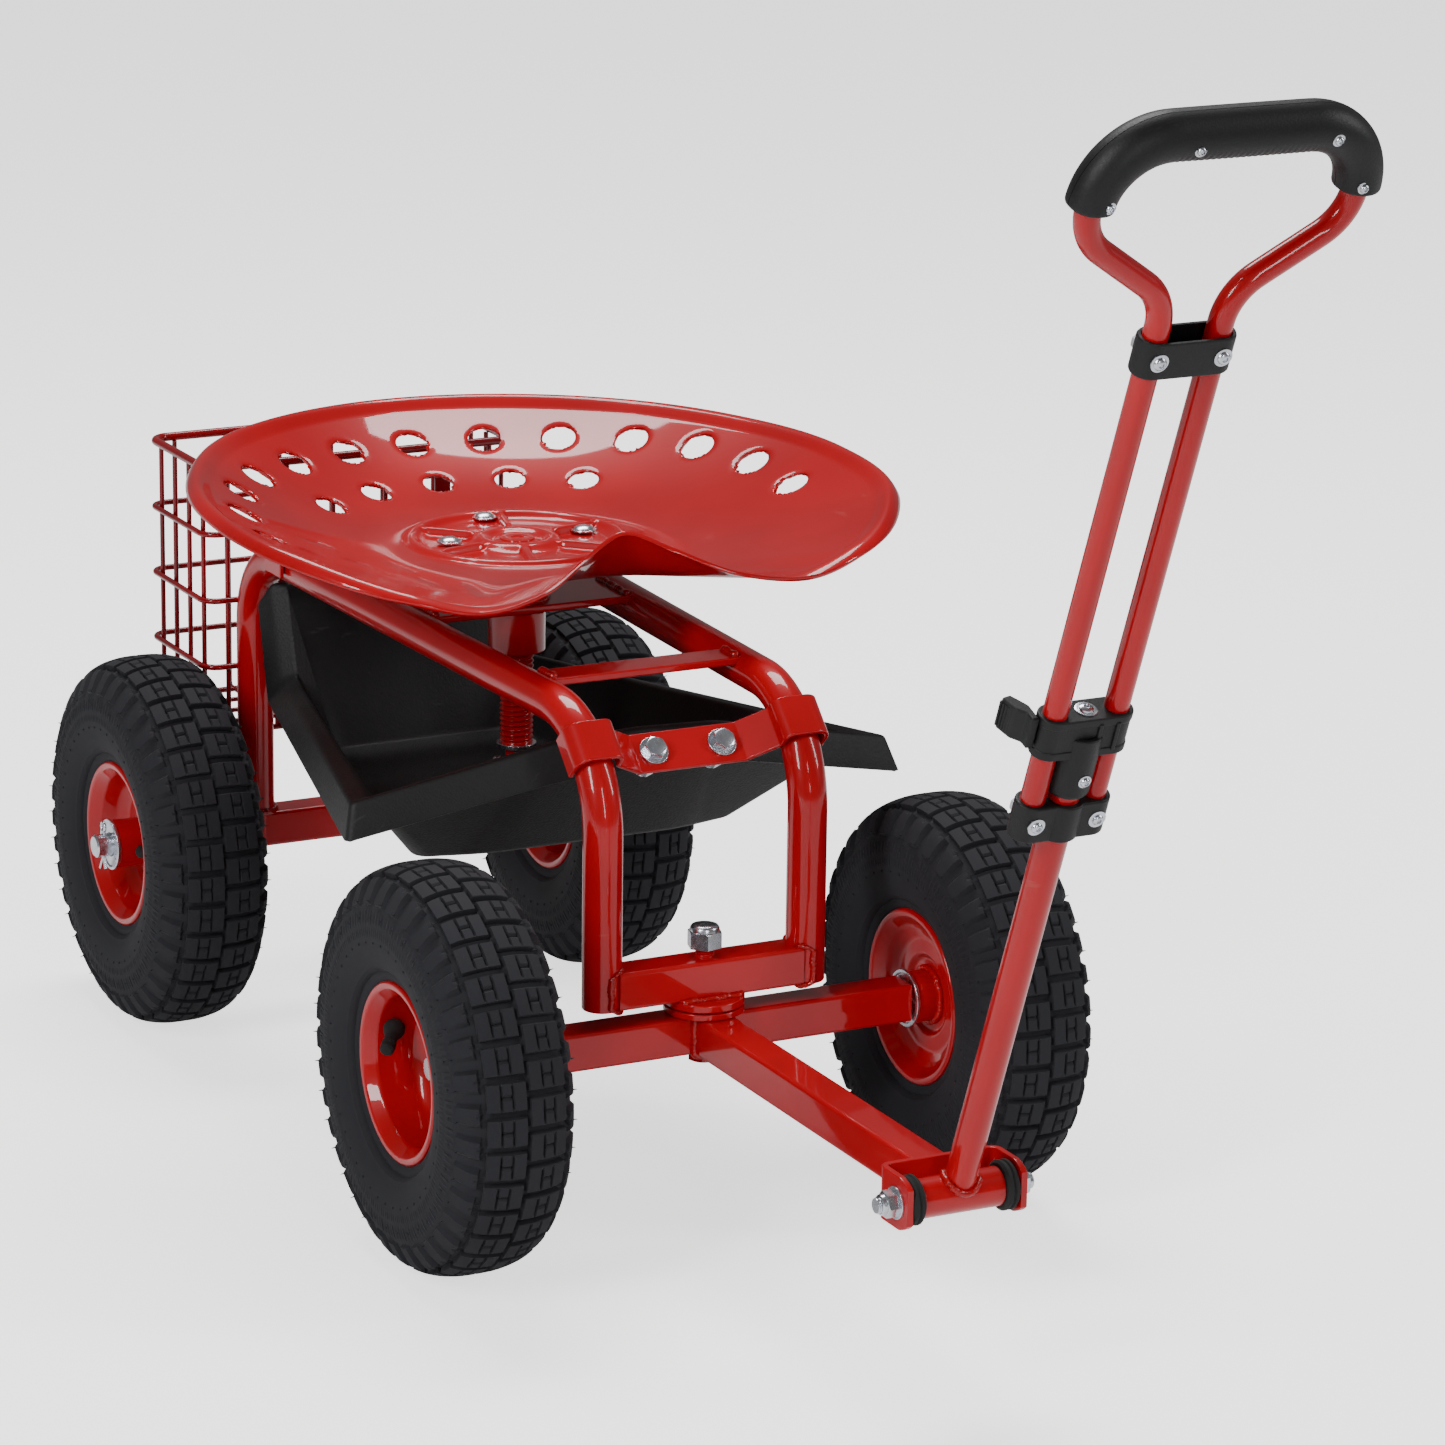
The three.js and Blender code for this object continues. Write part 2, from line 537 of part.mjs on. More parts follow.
function buildChassis(cart) {
  const chassis = new THREE.Group();
  cart.add(chassis);
  add(chassis, 'left_side_tube', sideTube(-1, TUBE.radius, 14), redPaint);
  add(chassis, 'right_side_tube', sideTube(1, TUBE.radius, 14), redPaint);

  const half = TUBE.frontX - TUBE.radius - GAP;
  const kingHole = rod([0, 0, 90], [0, 0, 240], KING_PIN.radius + GAP, 16);
  add(chassis, 'front_crossbar', cut(
    block(-half, half, -BAR / 2, BAR / 2, CROSSBAR_Z, CROSSBAR_Z + BAR), kingHole), redPaint);
  add(chassis, 'upper_steering_disc', cut(
    rod([0, 0, CROSSBAR_Z - GAP - DISC.thickness], [0, 0, CROSSBAR_Z - GAP], DISC.radius, 24), kingHole), redPaint);

  add(chassis, 'rear_axle_beam', cut(axleBeam(AXLE.rearTrack, DISH.rear).translate(0, AXLE.wheelbase, 0), ...tubeSpace), redPaint);
  add(chassis, 'mid_crossbar', plateBetweenRails(PLATE.midY, PLATE.midDepth, PLATE.thickness, PLATE.topZ), redPaint);
  const nutSpace = rod([0, PLATE.seatY, 300], [0, PLATE.seatY, 360], NUT.radius + GAP, 24);
  add(chassis, 'seat_plate', cut(
    plateBetweenRails(PLATE.seatY, PLATE.seatDepth, PLATE.thickness, PLATE.topZ), nutSpace), redPaint);
  add(chassis, 'seat_nut', washerZ(NUT.bottomZ, NUT.topZ, NUT.radius, SCREW.radius + GAP, 24)
    .translate(0, PLATE.seatY, 0), redPaint);

  for (const [name, at] of [['front', FRONT_SADDLE], ['rear', REAR_SADDLE]]) {
    const seatAt = new THREE.Group();
    seatAt.position.set(0, at.y, at.z);
    seatAt.rotation.x = at.tilt;
    chassis.add(seatAt);
    add(seatAt, `${name}_tray_strap`, traySaddle(railX(at.y), 28, SADDLE_BOLT_X, at.dip), redPaint);
    for (const [side, x] of [['left', -SADDLE_BOLT_X], ['right', SADDLE_BOLT_X]]) {
      const bolt = trayBolt(14);
      add(seatAt, `${name}_${side}_tray_bolt`, bolt.translate(x, 0, at.dip + 1.5), zinc);
    }
  }
  buildTray(chassis, [FRONT_SADDLE, REAR_SADDLE]);
  add(chassis, 'wire_basket', wireBasket(), darkRedPaint);
  return chassis;
}

function buildSteering(cart) {
  const axle = new THREE.Group();
  cart.add(axle);
  const beamTop = AXLE.height + BAR / 2;
  const kingHole = rod([0, 0, 90], [0, 0, 240], KING_PIN.radius + GAP, 16);
  add(axle, 'front_axle_beam', cut(axleBeam(AXLE.frontTrack, DISH.front), kingHole), redPaint);
  add(axle, 'lower_steering_disc', cut(
    rod([0, 0, beamTop + GAP], [0, 0, beamTop + GAP + DISC.thickness - 0.6], DISC.radius, 24), kingHole), redPaint);
  add(axle, 'drawbar', block(
    -BAR / 2, BAR / 2, CLEVIS.backY + GAP, -BAR / 2 - GAP, AXLE.height - BAR / 2, beamTop), redPaint);

  const nutSeat = CROSSBAR_Z + BAR + GAP + KING_PIN.bareThread;
  const hex = KING_PIN.hexAcross / Math.sqrt(3);
  add(axle, 'king_pin_bolt', join(
    rod([0, 0, AXLE.height - BAR / 2 - 8], [0, 0, AXLE.height - BAR / 2 - GAP], hex, 6),
    rod([0, 0, AXLE.height - BAR / 2 - 4], [0, 0, nutSeat + 17], KING_PIN.radius, 16)), zinc);
  add(axle, 'king_pin_nut', cut(join(
    rod([0, 0, nutSeat], [0, 0, nutSeat + 2.5], 14.5, 20),
    rod([0, 0, nutSeat + 2.5], [0, 0, nutSeat + 12], hex, 6),
    rod([0, 0, nutSeat + 12], [0, 0, nutSeat + 15.5], 10, 16)), kingHole), zinc);
  buildClevis(axle);
  return axle;
}

function buildClevis(axle) {
  const { backY, plate, halfWidth, halfHeight, pivotY, pivotZ } = CLEVIS;
  const front = pivotY - 14;
  const ear = [
    [backY, pivotZ - halfHeight], [backY, pivotZ + halfHeight], [front + 5, pivotZ + halfHeight],
    [front, pivotZ + halfHeight - 6], [front, pivotZ - halfHeight + 10], [front + 9, pivotZ - halfHeight]];
  const bolt = rod([-60, pivotY, pivotZ], [60, pivotY, pivotZ], BARREL.boltRadius + GAP, 14);
  add(axle, 'drawbar_clevis', cut(join(
    block(-halfWidth, halfWidth, backY - plate, backY, pivotZ - halfHeight, pivotZ + halfHeight),
    plateAcrossX(ear, -halfWidth, -halfWidth + plate),
    plateAcrossX(ear, halfWidth - plate, halfWidth)), bolt), redPaint);
  add(axle, 'handle_pivot_bolt', join(
    rod([-halfWidth - 14, pivotY, pivotZ], [halfWidth + 2, pivotY, pivotZ], BARREL.boltRadius, 14),
    rod([halfWidth + GAP, pivotY, pivotZ], [halfWidth + GAP + 6, pivotY, pivotZ], 9, 6)), zinc);
  const nutHole = rod([-80, pivotY, pivotZ], [0, pivotY, pivotZ], BARREL.boltRadius + GAP, 14);
  add(axle, 'handle_pivot_nut', cut(join(
    rod([-halfWidth - GAP - 2, pivotY, pivotZ], [-halfWidth - GAP, pivotY, pivotZ], 10, 18),
    rod([-halfWidth - GAP - 10, pivotY, pivotZ], [-halfWidth - GAP - 2, pivotY, pivotZ], 8.7, 6)), nutHole), zinc);
}

function buildHandle(cart) {
  const handle = new THREE.Group();
  handle.position.set(0, CLEVIS.pivotY, CLEVIS.pivotZ);
  handle.rotation.x = THREE.MathUtils.degToRad(HANDLE.lean);
  cart.add(handle);
  const boltHole = rod([-60, 0, 0], [60, 0, 0], BARREL.boltRadius + GAP, 14);
  add(handle, 'lower_handle_tube', cut(join(
    rod([-BARREL.halfLength, 0, 0], [BARREL.halfLength, 0, 0], BARREL.radius, 18),
    rod([0, 0, 5], [0, 0, HANDLE.tubeTop], HANDLE.tubeRadius, 18)), boltHole), redPaint);
  for (const [name, side] of [['left', -1], ['right', 1]]) {
    const from = BARREL.halfLength + GAP;
    const span = side > 0 ? [from, from + BARREL.ringLength] : [-from - BARREL.ringLength, -from];
    add(handle, `${name}_friction_ring`, washerX(...span, BARREL.ringRadius, BARREL.boltRadius + GAP, 18), softRubber);
  }

  const tubes = (z0, z1, extra) => [-1, 1].map((side) =>
    rod([side * HANDLE.loopHalf, 0, z0], [side * HANDLE.loopHalf, 0, z1], HANDLE.loopRadius + extra, 14));
  const core = (z0, z1, extra) => rod([0, 0, z0], [0, 0, z1], HANDLE.tubeRadius + extra, 18);

  const { sliderAt, bottomAt, collarAt, sideRadius, coreRadius } = CLAMP;
  const sideEdge = HANDLE.loopHalf + sideRadius;
  const slider = join(
    plateUp(stadium(HANDLE.loopHalf, sideRadius), sliderAt - 13, sliderAt + 13),
    rod([0, 0, sliderAt - 40], [0, 0, sliderAt + 13], coreRadius, 18));
  add(handle, 'slider_clamp', cut(slider,
    ...tubes(sliderAt - 60, sliderAt + 60, GAP + 0.2),
    core(sliderAt - 60, HANDLE.tubeTop + GAP, GAP)), blackPlastic);
  const leverBack = -sideEdge - 5.2;
  add(handle, 'lock_lever', join(
    block(leverBack, -sideEdge - GAP, -2, 13, sliderAt - 8, sliderAt + 8),
    plateUp([[leverBack, 6], [-sideEdge - GAP, 6], [leverBack - 3, 23], [leverBack - 8, 20]],
      sliderAt - 8, sliderAt + 8)), blackPlastic);

  const loop = swept(loopPath(LOOP.bottom), circle(HANDLE.loopRadius, 12));
  add(handle, 'handle_loop', loop, redPaint);
  add(handle, 'lower_loop_clamp', cut(join(
    plateUp(stadium(HANDLE.loopHalf, sideRadius), bottomAt - 12, bottomAt + 12),
    rod([0, 0, bottomAt - 12], [0, 0, bottomAt + 12], coreRadius, 18)),
  ...tubes(LOOP.bottom - GAP, bottomAt + 40, GAP), core(bottomAt - 40, bottomAt + 40, GAP + 0.2)), blackPlastic);
  add(handle, 'upper_loop_collar', cut(
    plateUp(stadium(HANDLE.loopHalf, sideRadius), collarAt - 11, collarAt + 11),
    ...tubes(collarAt - 40, collarAt + 40, GAP),
    plateUp(stadium(3, 5.5, 4), collarAt - 20, collarAt + 20)), blackPlastic);
  add(handle, 'front_grip_half', handleGrip(true), blackPlastic);
  add(handle, 'rear_grip_half', handleGrip(false), blackPlastic);
  return handle;
}

function buildSeat(cart) {
  const seat = new THREE.Group();
  seat.position.set(0, PLATE.seatY, 0);
  cart.add(seat);
  const pinHole = rod([-20, 0, SCREW.bottomZ + 6], [20, 0, SCREW.bottomZ + 6], 1.95, 8);
  add(seat, 'seat_screw', cut(join(
    rod([0, 0, SCREW.bottomZ], [0, 0, SCREW.shoulderZ + 1], SCREW.tipRadius, 16),
    rod([0, 0, SCREW.shoulderZ], [0, 0, SWIVEL.bottomZ - GAP], SCREW.radius, 20)), pinHole), redPaint);
  add(seat, 'stop_washer', washerZ(SCREW.shoulderZ - 3.3, SCREW.shoulderZ - GAP, 13.5, SCREW.tipRadius + GAP), zinc);
  add(seat, 'screw_cotter_pin', cotterPin(0, SCREW.tipRadius)
    .rotateY(Math.PI / 2).translate(0, 0, SCREW.bottomZ + 6), zinc);
  add(seat, 'swivel_disc', rod([0, 0, SWIVEL.bottomZ], [0, 0, SWIVEL.bottomZ + SWIVEL.thickness],
    SWIVEL.radius - 4, 32, SWIVEL.radius), redPaint);
  const pan = new THREE.Group();
  pan.position.y = SEAT.centreY - PLATE.seatY;
  seat.add(pan);
  add(pan, 'seat_pan', seatPan(), redPaint);
  return seat;
}

function buildCart() {
  const cart = new THREE.Group();
  cart.position.y = -ORIGIN_Y;
  buildChassis(cart);
  buildSteering(cart);
  for (const [name, side] of [['left', -1], ['right', 1]]) {
    wheel(cart, `front_${name}`, side * AXLE.frontTrack, 0, side, DISH.front);
    wheel(cart, `rear_${name}`, side * AXLE.rearTrack, AXLE.wheelbase, side, DISH.rear);
  }
  buildHandle(cart);
  buildSeat(cart);
  return cart;
}

export default buildCart();
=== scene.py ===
"""Looks of a rolling garden work seat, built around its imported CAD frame.

Shapes are worked out in millimetres with the steering axis on Y = 0, the ground on Z = 0 and the
plane of symmetry on X = 0.  Piece.make turns them into metres in the frame of the CAD model.
"""

import logging
from dataclasses import dataclass, field, replace
from enum import Enum
from typing import Any, Iterable, Optional, Sequence, Union

import bmesh
import bpy
import numpy as np
from mathutils import Matrix, Vector


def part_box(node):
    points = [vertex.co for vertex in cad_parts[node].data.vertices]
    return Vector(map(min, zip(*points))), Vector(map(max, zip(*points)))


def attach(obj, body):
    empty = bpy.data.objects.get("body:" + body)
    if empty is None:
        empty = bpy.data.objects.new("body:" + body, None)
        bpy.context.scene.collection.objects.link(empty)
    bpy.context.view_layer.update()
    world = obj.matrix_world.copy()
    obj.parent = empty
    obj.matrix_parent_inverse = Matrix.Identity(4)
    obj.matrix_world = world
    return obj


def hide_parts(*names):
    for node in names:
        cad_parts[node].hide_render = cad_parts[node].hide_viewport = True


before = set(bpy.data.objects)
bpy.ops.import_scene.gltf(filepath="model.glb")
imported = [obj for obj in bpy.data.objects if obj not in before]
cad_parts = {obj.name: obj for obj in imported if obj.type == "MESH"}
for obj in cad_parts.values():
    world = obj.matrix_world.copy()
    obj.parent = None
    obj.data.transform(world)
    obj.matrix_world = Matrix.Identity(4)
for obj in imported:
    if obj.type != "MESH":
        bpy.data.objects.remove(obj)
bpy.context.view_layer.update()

log = logging.getLogger("garden_cart")

Array = np.ndarray
Number = Union[int, float]

MM = 0.001
TAU = 2.0 * np.pi
SIDES = {"left": -1.0, "right": 1.0}
X_AXIS = np.array([1.0, 0.0, 0.0])
Y_AXIS = np.array([0.0, 1.0, 0.0])
Z_AXIS = np.array([0.0, 0.0, 1.0])


def middle(node: str) -> Array:
    """Middle of a CAD node's box, in metres in the frame of the CAD model."""
    low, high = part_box(node)
    return (np.array(low) + np.array(high)) / 2.0


STEERING_AXIS = np.array([0.0, middle("king_pin_bolt")[1], 0.0])


def box_mm(node: str) -> tuple[Array, Array]:
    """Lowest and highest corner of a CAD node, in millimetres from the steering axis."""
    low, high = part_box(node)
    return (np.array(low) - STEERING_AXIS) / MM, (np.array(high) - STEERING_AXIS) / MM


def middle_mm(node: str) -> Array:
    """Middle of a CAD node's box, in millimetres from the steering axis."""
    low, high = box_mm(node)
    return (low + high) / 2.0


# ------------------------------------------------------------------ shader graph


class Value:
    """A socket of a shader graph, with arithmetic that adds Math nodes."""

    def __init__(self, graph: "Graph", socket: bpy.types.NodeSocket) -> None:
        """Keeps the graph and the socket."""
        self.graph = graph
        self.socket = socket

    def math(self, operation: str, *others: Any) -> "Value":
        """Math node of one operation on this value and the others."""
        return self.graph.node("ShaderNodeMath", {"operation": operation}, [self, *others])

    def __add__(self, other: Any) -> "Value":
        """Sum."""
        return self.math("ADD", other)

    __radd__ = __add__

    def __mul__(self, other: Any) -> "Value":
        """Product."""
        return self.math("MULTIPLY", other)

    __rmul__ = __mul__

    def __sub__(self, other: Any) -> "Value":
        """Difference."""
        return self.math("SUBTRACT", other)

    def __rsub__(self, other: Any) -> "Value":
        """Difference the other way round."""
        return self.graph.node("ShaderNodeMath", {"operation": "SUBTRACT"}, [other, self])

    def step(self, low: Number, high: Number) -> "Value":
        """Smooth step from 0 at low to 1 at high."""
        settings = {"interpolation_type": "SMOOTHSTEP"}
        return self.graph.node("ShaderNodeMapRange", settings, [self, low, high, 0.0, 1.0])


class Graph:
    """The node tree of one material."""

    def __init__(self, name: str) -> None:
        """Starts a material with its surface shader and its coordinates."""
        self.material = bpy.data.materials.new(name)
        self.material.use_nodes = True
        self.tree = self.material.node_tree
        self.shader = self.tree.nodes["Principled BSDF"]
        self.place = self.node("ShaderNodeTexCoord", {}, {}, "Object")

    def put(self, socket: bpy.types.NodeSocket, value: Any) -> None:
        """Links a Value to a socket, or sets the socket to a plain value."""
        if isinstance(value, Value):
            self.tree.links.new(value.socket, socket)
        else:
            socket.default_value = value

    def node(self, kind: str, settings: dict[str, Any], inputs: Any, output: Any = 0) -> Value:
        """Adds one node.

        Args:
            kind: The node's type.
            settings: Its properties, set before its sockets.
            inputs: Values or links, as a list in socket order or by socket name.
            output: The name or number of the socket to return.

        Returns:
            The output socket as a Value.
        """
        made = self.tree.nodes.new(kind)
        for key, setting in settings.items():
            setattr(made, key, setting)
        pairs = inputs.items() if isinstance(inputs, dict) else enumerate(inputs)
        for key, value in pairs:
            self.put(made.inputs[key], value)
        return Value(self, made.outputs[output])

    def noise(self, scale: float, detail: float = 3.0, roughness: float = 0.5) -> Value:
        """Fractal noise over the piece, scale in waves per metre."""
        inputs = {"Vector": self.place, "Scale": scale, "Detail": detail, "Roughness": roughness}
        return self.node("ShaderNodeTexNoise", {}, inputs, "Fac")

    def cells(self, scale: float) -> Value:
        """Distance to the nearest cell point, scale in cells per metre."""
        inputs = {"Vector": self.place, "Scale": scale}
        return self.node("ShaderNodeTexVoronoi", {"feature": "F1"}, inputs, "Distance")

    def stretched(self, scale: Sequence[float]) -> Value:
        """Noise drawn out along some axes, for brushed or drawn metal."""
        spread = self.node("ShaderNodeMapping", {}, {"Vector": self.place, "Scale": scale}, "Vector")
        return self.node("ShaderNodeTexNoise", {}, {"Vector": spread, "Scale": 1.0, "Detail": 2.0}, "Fac")

    def blend(self, factor: Any, first: Any, second: Any) -> Value:
        """Colour that goes from the first to the second as the factor goes from 0 to 1."""
        made = self.tree.nodes.new("ShaderNodeMix")
        made.data_type = "RGBA"
        self.put(made.inputs[0], factor)
        self.put(made.inputs[6], first)
        self.put(made.inputs[7], second)
        return Value(self, made.outputs[2])

    def bump(self, height: Value, distance: float) -> Value:
        """Surface normal disturbed by a height, distance in metres."""
        inputs = {"Strength": 1.0, "Distance": distance, "Height": height}
        return self.node("ShaderNodeBump", {}, inputs, "Normal")

    def dress(self, **sockets: Any) -> bpy.types.Material:
        """Sets the surface shader's sockets, named with underscores, and returns the material."""
        for key, value in sockets.items():
            self.put(self.shader.inputs[key.replace("_", " ")], value)
        return self.material


Colour = tuple[float, float, float, float]


@dataclass(frozen=True)
class PowderCoat:
    """Glossy coloured powder coat with a faint orange peel, dust specks and dulled patches."""

    name: str
    colour: Colour
    deep: Colour
    roughness: float = 0.3
    peel: float = 0.00003
    lumps: float = 0.0

    def material(self) -> bpy.types.Material:
        """Builds the material."""
        graph = Graph(self.name)
        cloud = graph.noise(9.0, 2.0)
        peel = graph.noise(420.0, 2.0)
        specks = graph.cells(330.0).step(0.1, 0.04) * graph.noise(40.0).step(0.52, 0.62)
        scuffs = graph.stretched((30.0, 30.0, 260.0)).step(0.66, 0.76) * graph.noise(14.0).step(0.5, 0.6)
        base = graph.blend(cloud.step(0.3, 0.7), self.colour, self.deep)
        red = self.colour[0]
        worn = graph.blend(scuffs * 0.3, base, (red, red * 0.12, red * 0.11, 1.0))
        height = peel + specks * 0.8
        if self.lumps:
            height = height + graph.noise(230.0, 4.0) * self.lumps
        return graph.dress(
            Base_Color=graph.blend(specks * 0.35, worn, self.deep),
            Roughness=self.roughness + cloud * 0.08 + scuffs * 0.12,
            Normal=graph.bump(height, self.peel),
            Coat_Weight=0.7, Coat_Roughness=0.04, Specular_IOR_Level=0.12)


@dataclass(frozen=True)
class ZincPlate:
    """Bright zinc plate with fine drawing marks and a faint blue and straw passivation."""

    name: str
    bright: Colour = (0.62, 0.64, 0.67, 1.0)
    dull: Colour = (0.34, 0.35, 0.37, 1.0)
    roughness: float = 0.2

    def material(self) -> bpy.types.Material:
        """Builds the material."""
        graph = Graph(self.name)
        tint = graph.noise(160.0, 2.0)
        marks = graph.stretched((900.0, 260.0, 260.0))
        stain = graph.noise(150.0, 3.0).step(0.56, 0.76)
        base = graph.blend(tint.step(0.35, 0.7), self.bright, (0.7, 0.73, 0.82, 1.0))
        return graph.dress(
            Base_Color=graph.blend(stain * 0.35, base, self.dull),
            Metallic=1.0,
            Roughness=self.roughness + marks * 0.1 + stain * 0.1,
            Normal=graph.bump(marks, 0.000012))


@dataclass(frozen=True)
class MouldedPlastic:
    """Black moulded plastic with an etched grain, sink marks and pale handling scuffs."""

    name: str
    colour: Colour = (0.007, 0.007, 0.0076, 1.0)
    grain_per_metre: float = 900.0
    grain_depth: float = 0.00006
    roughness: float = 0.36
    scuffed: float = 0.25

    def material(self) -> bpy.types.Material:
        """Builds the material."""
        graph = Graph(self.name)
        grain = graph.cells(self.grain_per_metre) + graph.noise(self.grain_per_metre * 1.7, 2.0) * 0.6
        cloud = graph.noise(22.0, 3.0)
        scuffs = graph.stretched((60.0, 420.0, 90.0)).step(0.64, 0.78) * cloud.step(0.45, 0.62)
        pale = (self.colour[0] * 6.0, self.colour[1] * 6.0, self.colour[2] * 6.2, 1.0)
        return graph.dress(
            Base_Color=graph.blend(scuffs * self.scuffed + cloud * 0.06, self.colour, pale),
            Roughness=self.roughness + grain * 0.1 + cloud * 0.08,
            Normal=graph.bump(grain, self.grain_depth),
            Specular_IOR_Level=0.3)


@dataclass(frozen=True)
class TyreRubber:
    """Black moulded rubber: semi-gloss, faintly mottled, with a trace of dust in patches."""

    name: str
    colour: Colour = (0.005, 0.0051, 0.0056, 1.0)
    dusty: Colour = (0.016, 0.0155, 0.015, 1.0)
    roughness: float = 0.24
    shine: float = 0.5

    def material(self) -> bpy.types.Material:
        """Builds the material."""
        graph = Graph(self.name)
        mottle = graph.noise(55.0, 5.0, 0.6)
        pores = graph.noise(1500.0, 3.0)
        smears = graph.noise(240.0, 4.0, 0.65)
        dust = graph.noise(30.0, 4.0).step(0.55, 0.8)
        return graph.dress(
            Base_Color=graph.blend(dust * 0.35 + smears.step(0.6, 0.8) * 0.15, self.colour, self.dusty),
            Roughness=self.roughness + mottle * 0.14 + dust * 0.12,
            Normal=graph.bump(pores + smears * 1.6, 0.00003),
            Specular_IOR_Level=self.shine, Coat_Weight=self.shine, Coat_Roughness=0.16)


class Finish(Enum):
    """The finishes of the cart; each knows its recipe and its material slot."""

    RED = (PowderCoat("red_powder_coat", (0.46, 0.0008, 0.0055, 1.0), (0.37, 0.0004, 0.004, 1.0)),
           "red_paint")
    WELD = (PowderCoat("painted_weld", (0.38, 0.0012, 0.003, 1.0), (0.26, 0.0006, 0.002, 1.0),
                       roughness=0.26, peel=0.0004, lumps=0.9),
            "red_paint")
    WIRE = (PowderCoat("dipped_wire", (0.27, 0.002, 0.006, 1.0), (0.17, 0.001, 0.004, 1.0), roughness=0.24),
            "dark_red_paint")
    ZINC = (ZincPlate("zinc_plate"), "zinc")
    BLACK = (MouldedPlastic("satin_black_plastic"), "black_plastic")
    TRAY = (MouldedPlastic("grained_tray_plastic", (0.0095, 0.0095, 0.01, 1.0), grain_per_metre=620.0,
                           grain_depth=0.00016, roughness=0.42, scuffed=0.35),
            "tray_plastic")
    TYRE = (TyreRubber("tyre_rubber"), "tyre_rubber")
    RUBBER = (TyreRubber("soft_rubber", (0.006, 0.006, 0.007, 1.0), (0.02, 0.02, 0.02, 1.0), roughness=0.42,
                         shine=0.2),
              "soft_rubber")

    @property
    def slot(self) -> str:
        """Its material slot."""
        return self.value[1]

    @property
    def material(self) -> bpy.types.Material:
        """The material, built the first time it is asked for."""
        recipe = self.value[0]
        return bpy.data.materials.get(recipe.name) or recipe.material()


# ------------------------------------------------------------------ curves and sections


def unit(vectors: Array) -> Array:
    """Vectors of length one."""
    vectors = np.asarray(vectors, float)
    return vectors / np.maximum(np.linalg.norm(vectors, axis=-1, keepdims=True), 1e-12)


def rounded(corners: Sequence[Sequence[float]], radius: Any, closed: bool = False,
            step: float = 7.5) -> Array:
    """Polyline with its corners turned into arcs tangent to both legs.

    Args:
        corners: The corner points.
        radius: One radius, or one for each corner.
        closed: Whether the last point joins the first.
        step: Degrees of turn between two points of an arc.

    Returns:
        Points along the path.
    """
    points = np.asarray(corners, float)
    count = len(points)
    radii = np.broadcast_to(np.asarray(radius, float), (count,))
    runs = [] if closed else [points[:1]]
    for i in range(0 if closed else 1, count if closed else count - 1):
        before, here, after = points[i - 1], points[i], points[(i + 1) % count]
        into, away = unit(here - before), unit(after - here)
        turn = np.arccos(np.clip(into @ away, -1.0, 1.0))
        if radii[i] <= 0.0 or turn < 1e-3:
            runs.append(here[None])
            continue
        reach = 0.495 * min(np.linalg.norm(here - before), np.linalg.norm(after - here))
        setback = min(radii[i] * np.tan(turn / 2.0), reach)
        bend = setback / np.tan(turn / 2.0)
        inward = unit(away - into * (into @ away))
        centre = here - into * setback + inward * bend
        angle = np.linspace(0.0, turn, max(3, int(np.degrees(turn) / step) + 2))[:, None]
        runs.append(centre - inward * bend * np.cos(angle) + into * bend * np.sin(angle))
    if not closed:
        runs.append(points[-1:])
    return np.vstack(runs)


def spaced(path: Array, spacing: float, closed: bool = False) -> Array:
    """The same path with points at an even spacing."""
    loop = np.vstack([path, path[:1]]) if closed else path
    length = np.concatenate([[0.0], np.cumsum(np.linalg.norm(np.diff(loop, axis=0), axis=1))])
    count = max(4, int(round(length[-1] / spacing)))
    at = np.linspace(0.0, length[-1], count + 1)[: count if closed else count + 1]
    return np.stack([np.interp(at, length, loop[:, k]) for k in range(loop.shape[1])], -1)


def smooth_table(at: Array, keys: Array, values: Array) -> Array:
    """Smooth curve through a table: a cubic on each span, with slopes taken across its neighbours."""
    slopes = np.gradient(values, keys, axis=0)
    i = np.clip(np.searchsorted(keys, at, side="right") - 1, 0, len(keys) - 2)
    span = (keys[i + 1] - keys[i])
    t = (at - keys[i]) / span
    extra = (slice(None),) + (None,) * (values.ndim - 1)
    t, span = t[extra], span[extra]
    return ((2 * t**3 - 3 * t**2 + 1) * values[i] + (t**3 - 2 * t**2 + t) * span * slopes[i]
            + (3 * t**2 - 2 * t**3) * values[i + 1] + (t**3 - t**2) * span * slopes[i + 1])


def round_section(radius: float, sides: int = 24) -> Array:
    """Circle of (side, normal) points."""
    angle = np.arange(sides) / sides * TAU
    return radius * np.stack([np.cos(angle), np.sin(angle)], -1)


def bar_section(width: float, height: float, corner: float) -> Array:
    """Rectangle with round corners, as (side, normal) points."""
    w, h = width / 2.0, height / 2.0
    corners = [[-w, -h], [w, -h], [w, h], [-w, h]]
    return rounded(corners, corner, closed=True, step=22.0)


def slot_outline(half: float, radius: float, steps: int = 14) -> Array:
    """Outline with straight flanks and half-round ends, its end centres at x = -half and half."""
    angle = np.linspace(-np.pi / 2, np.pi / 2, steps)
    end = np.stack([half + radius * np.cos(angle), radius * np.sin(angle)], -1)
    return np.vstack([end, -end])


def across(direction: Array) -> tuple[Array, Array]:
    """Two unit vectors square to a direction and to each other."""
    direction = unit(direction)
    helper = Z_AXIS if abs(direction[2]) < 0.9 else X_AXIS
    first = unit(np.cross(helper, direction))
    return first, np.cross(direction, first)


# ------------------------------------------------------------------ surfaces


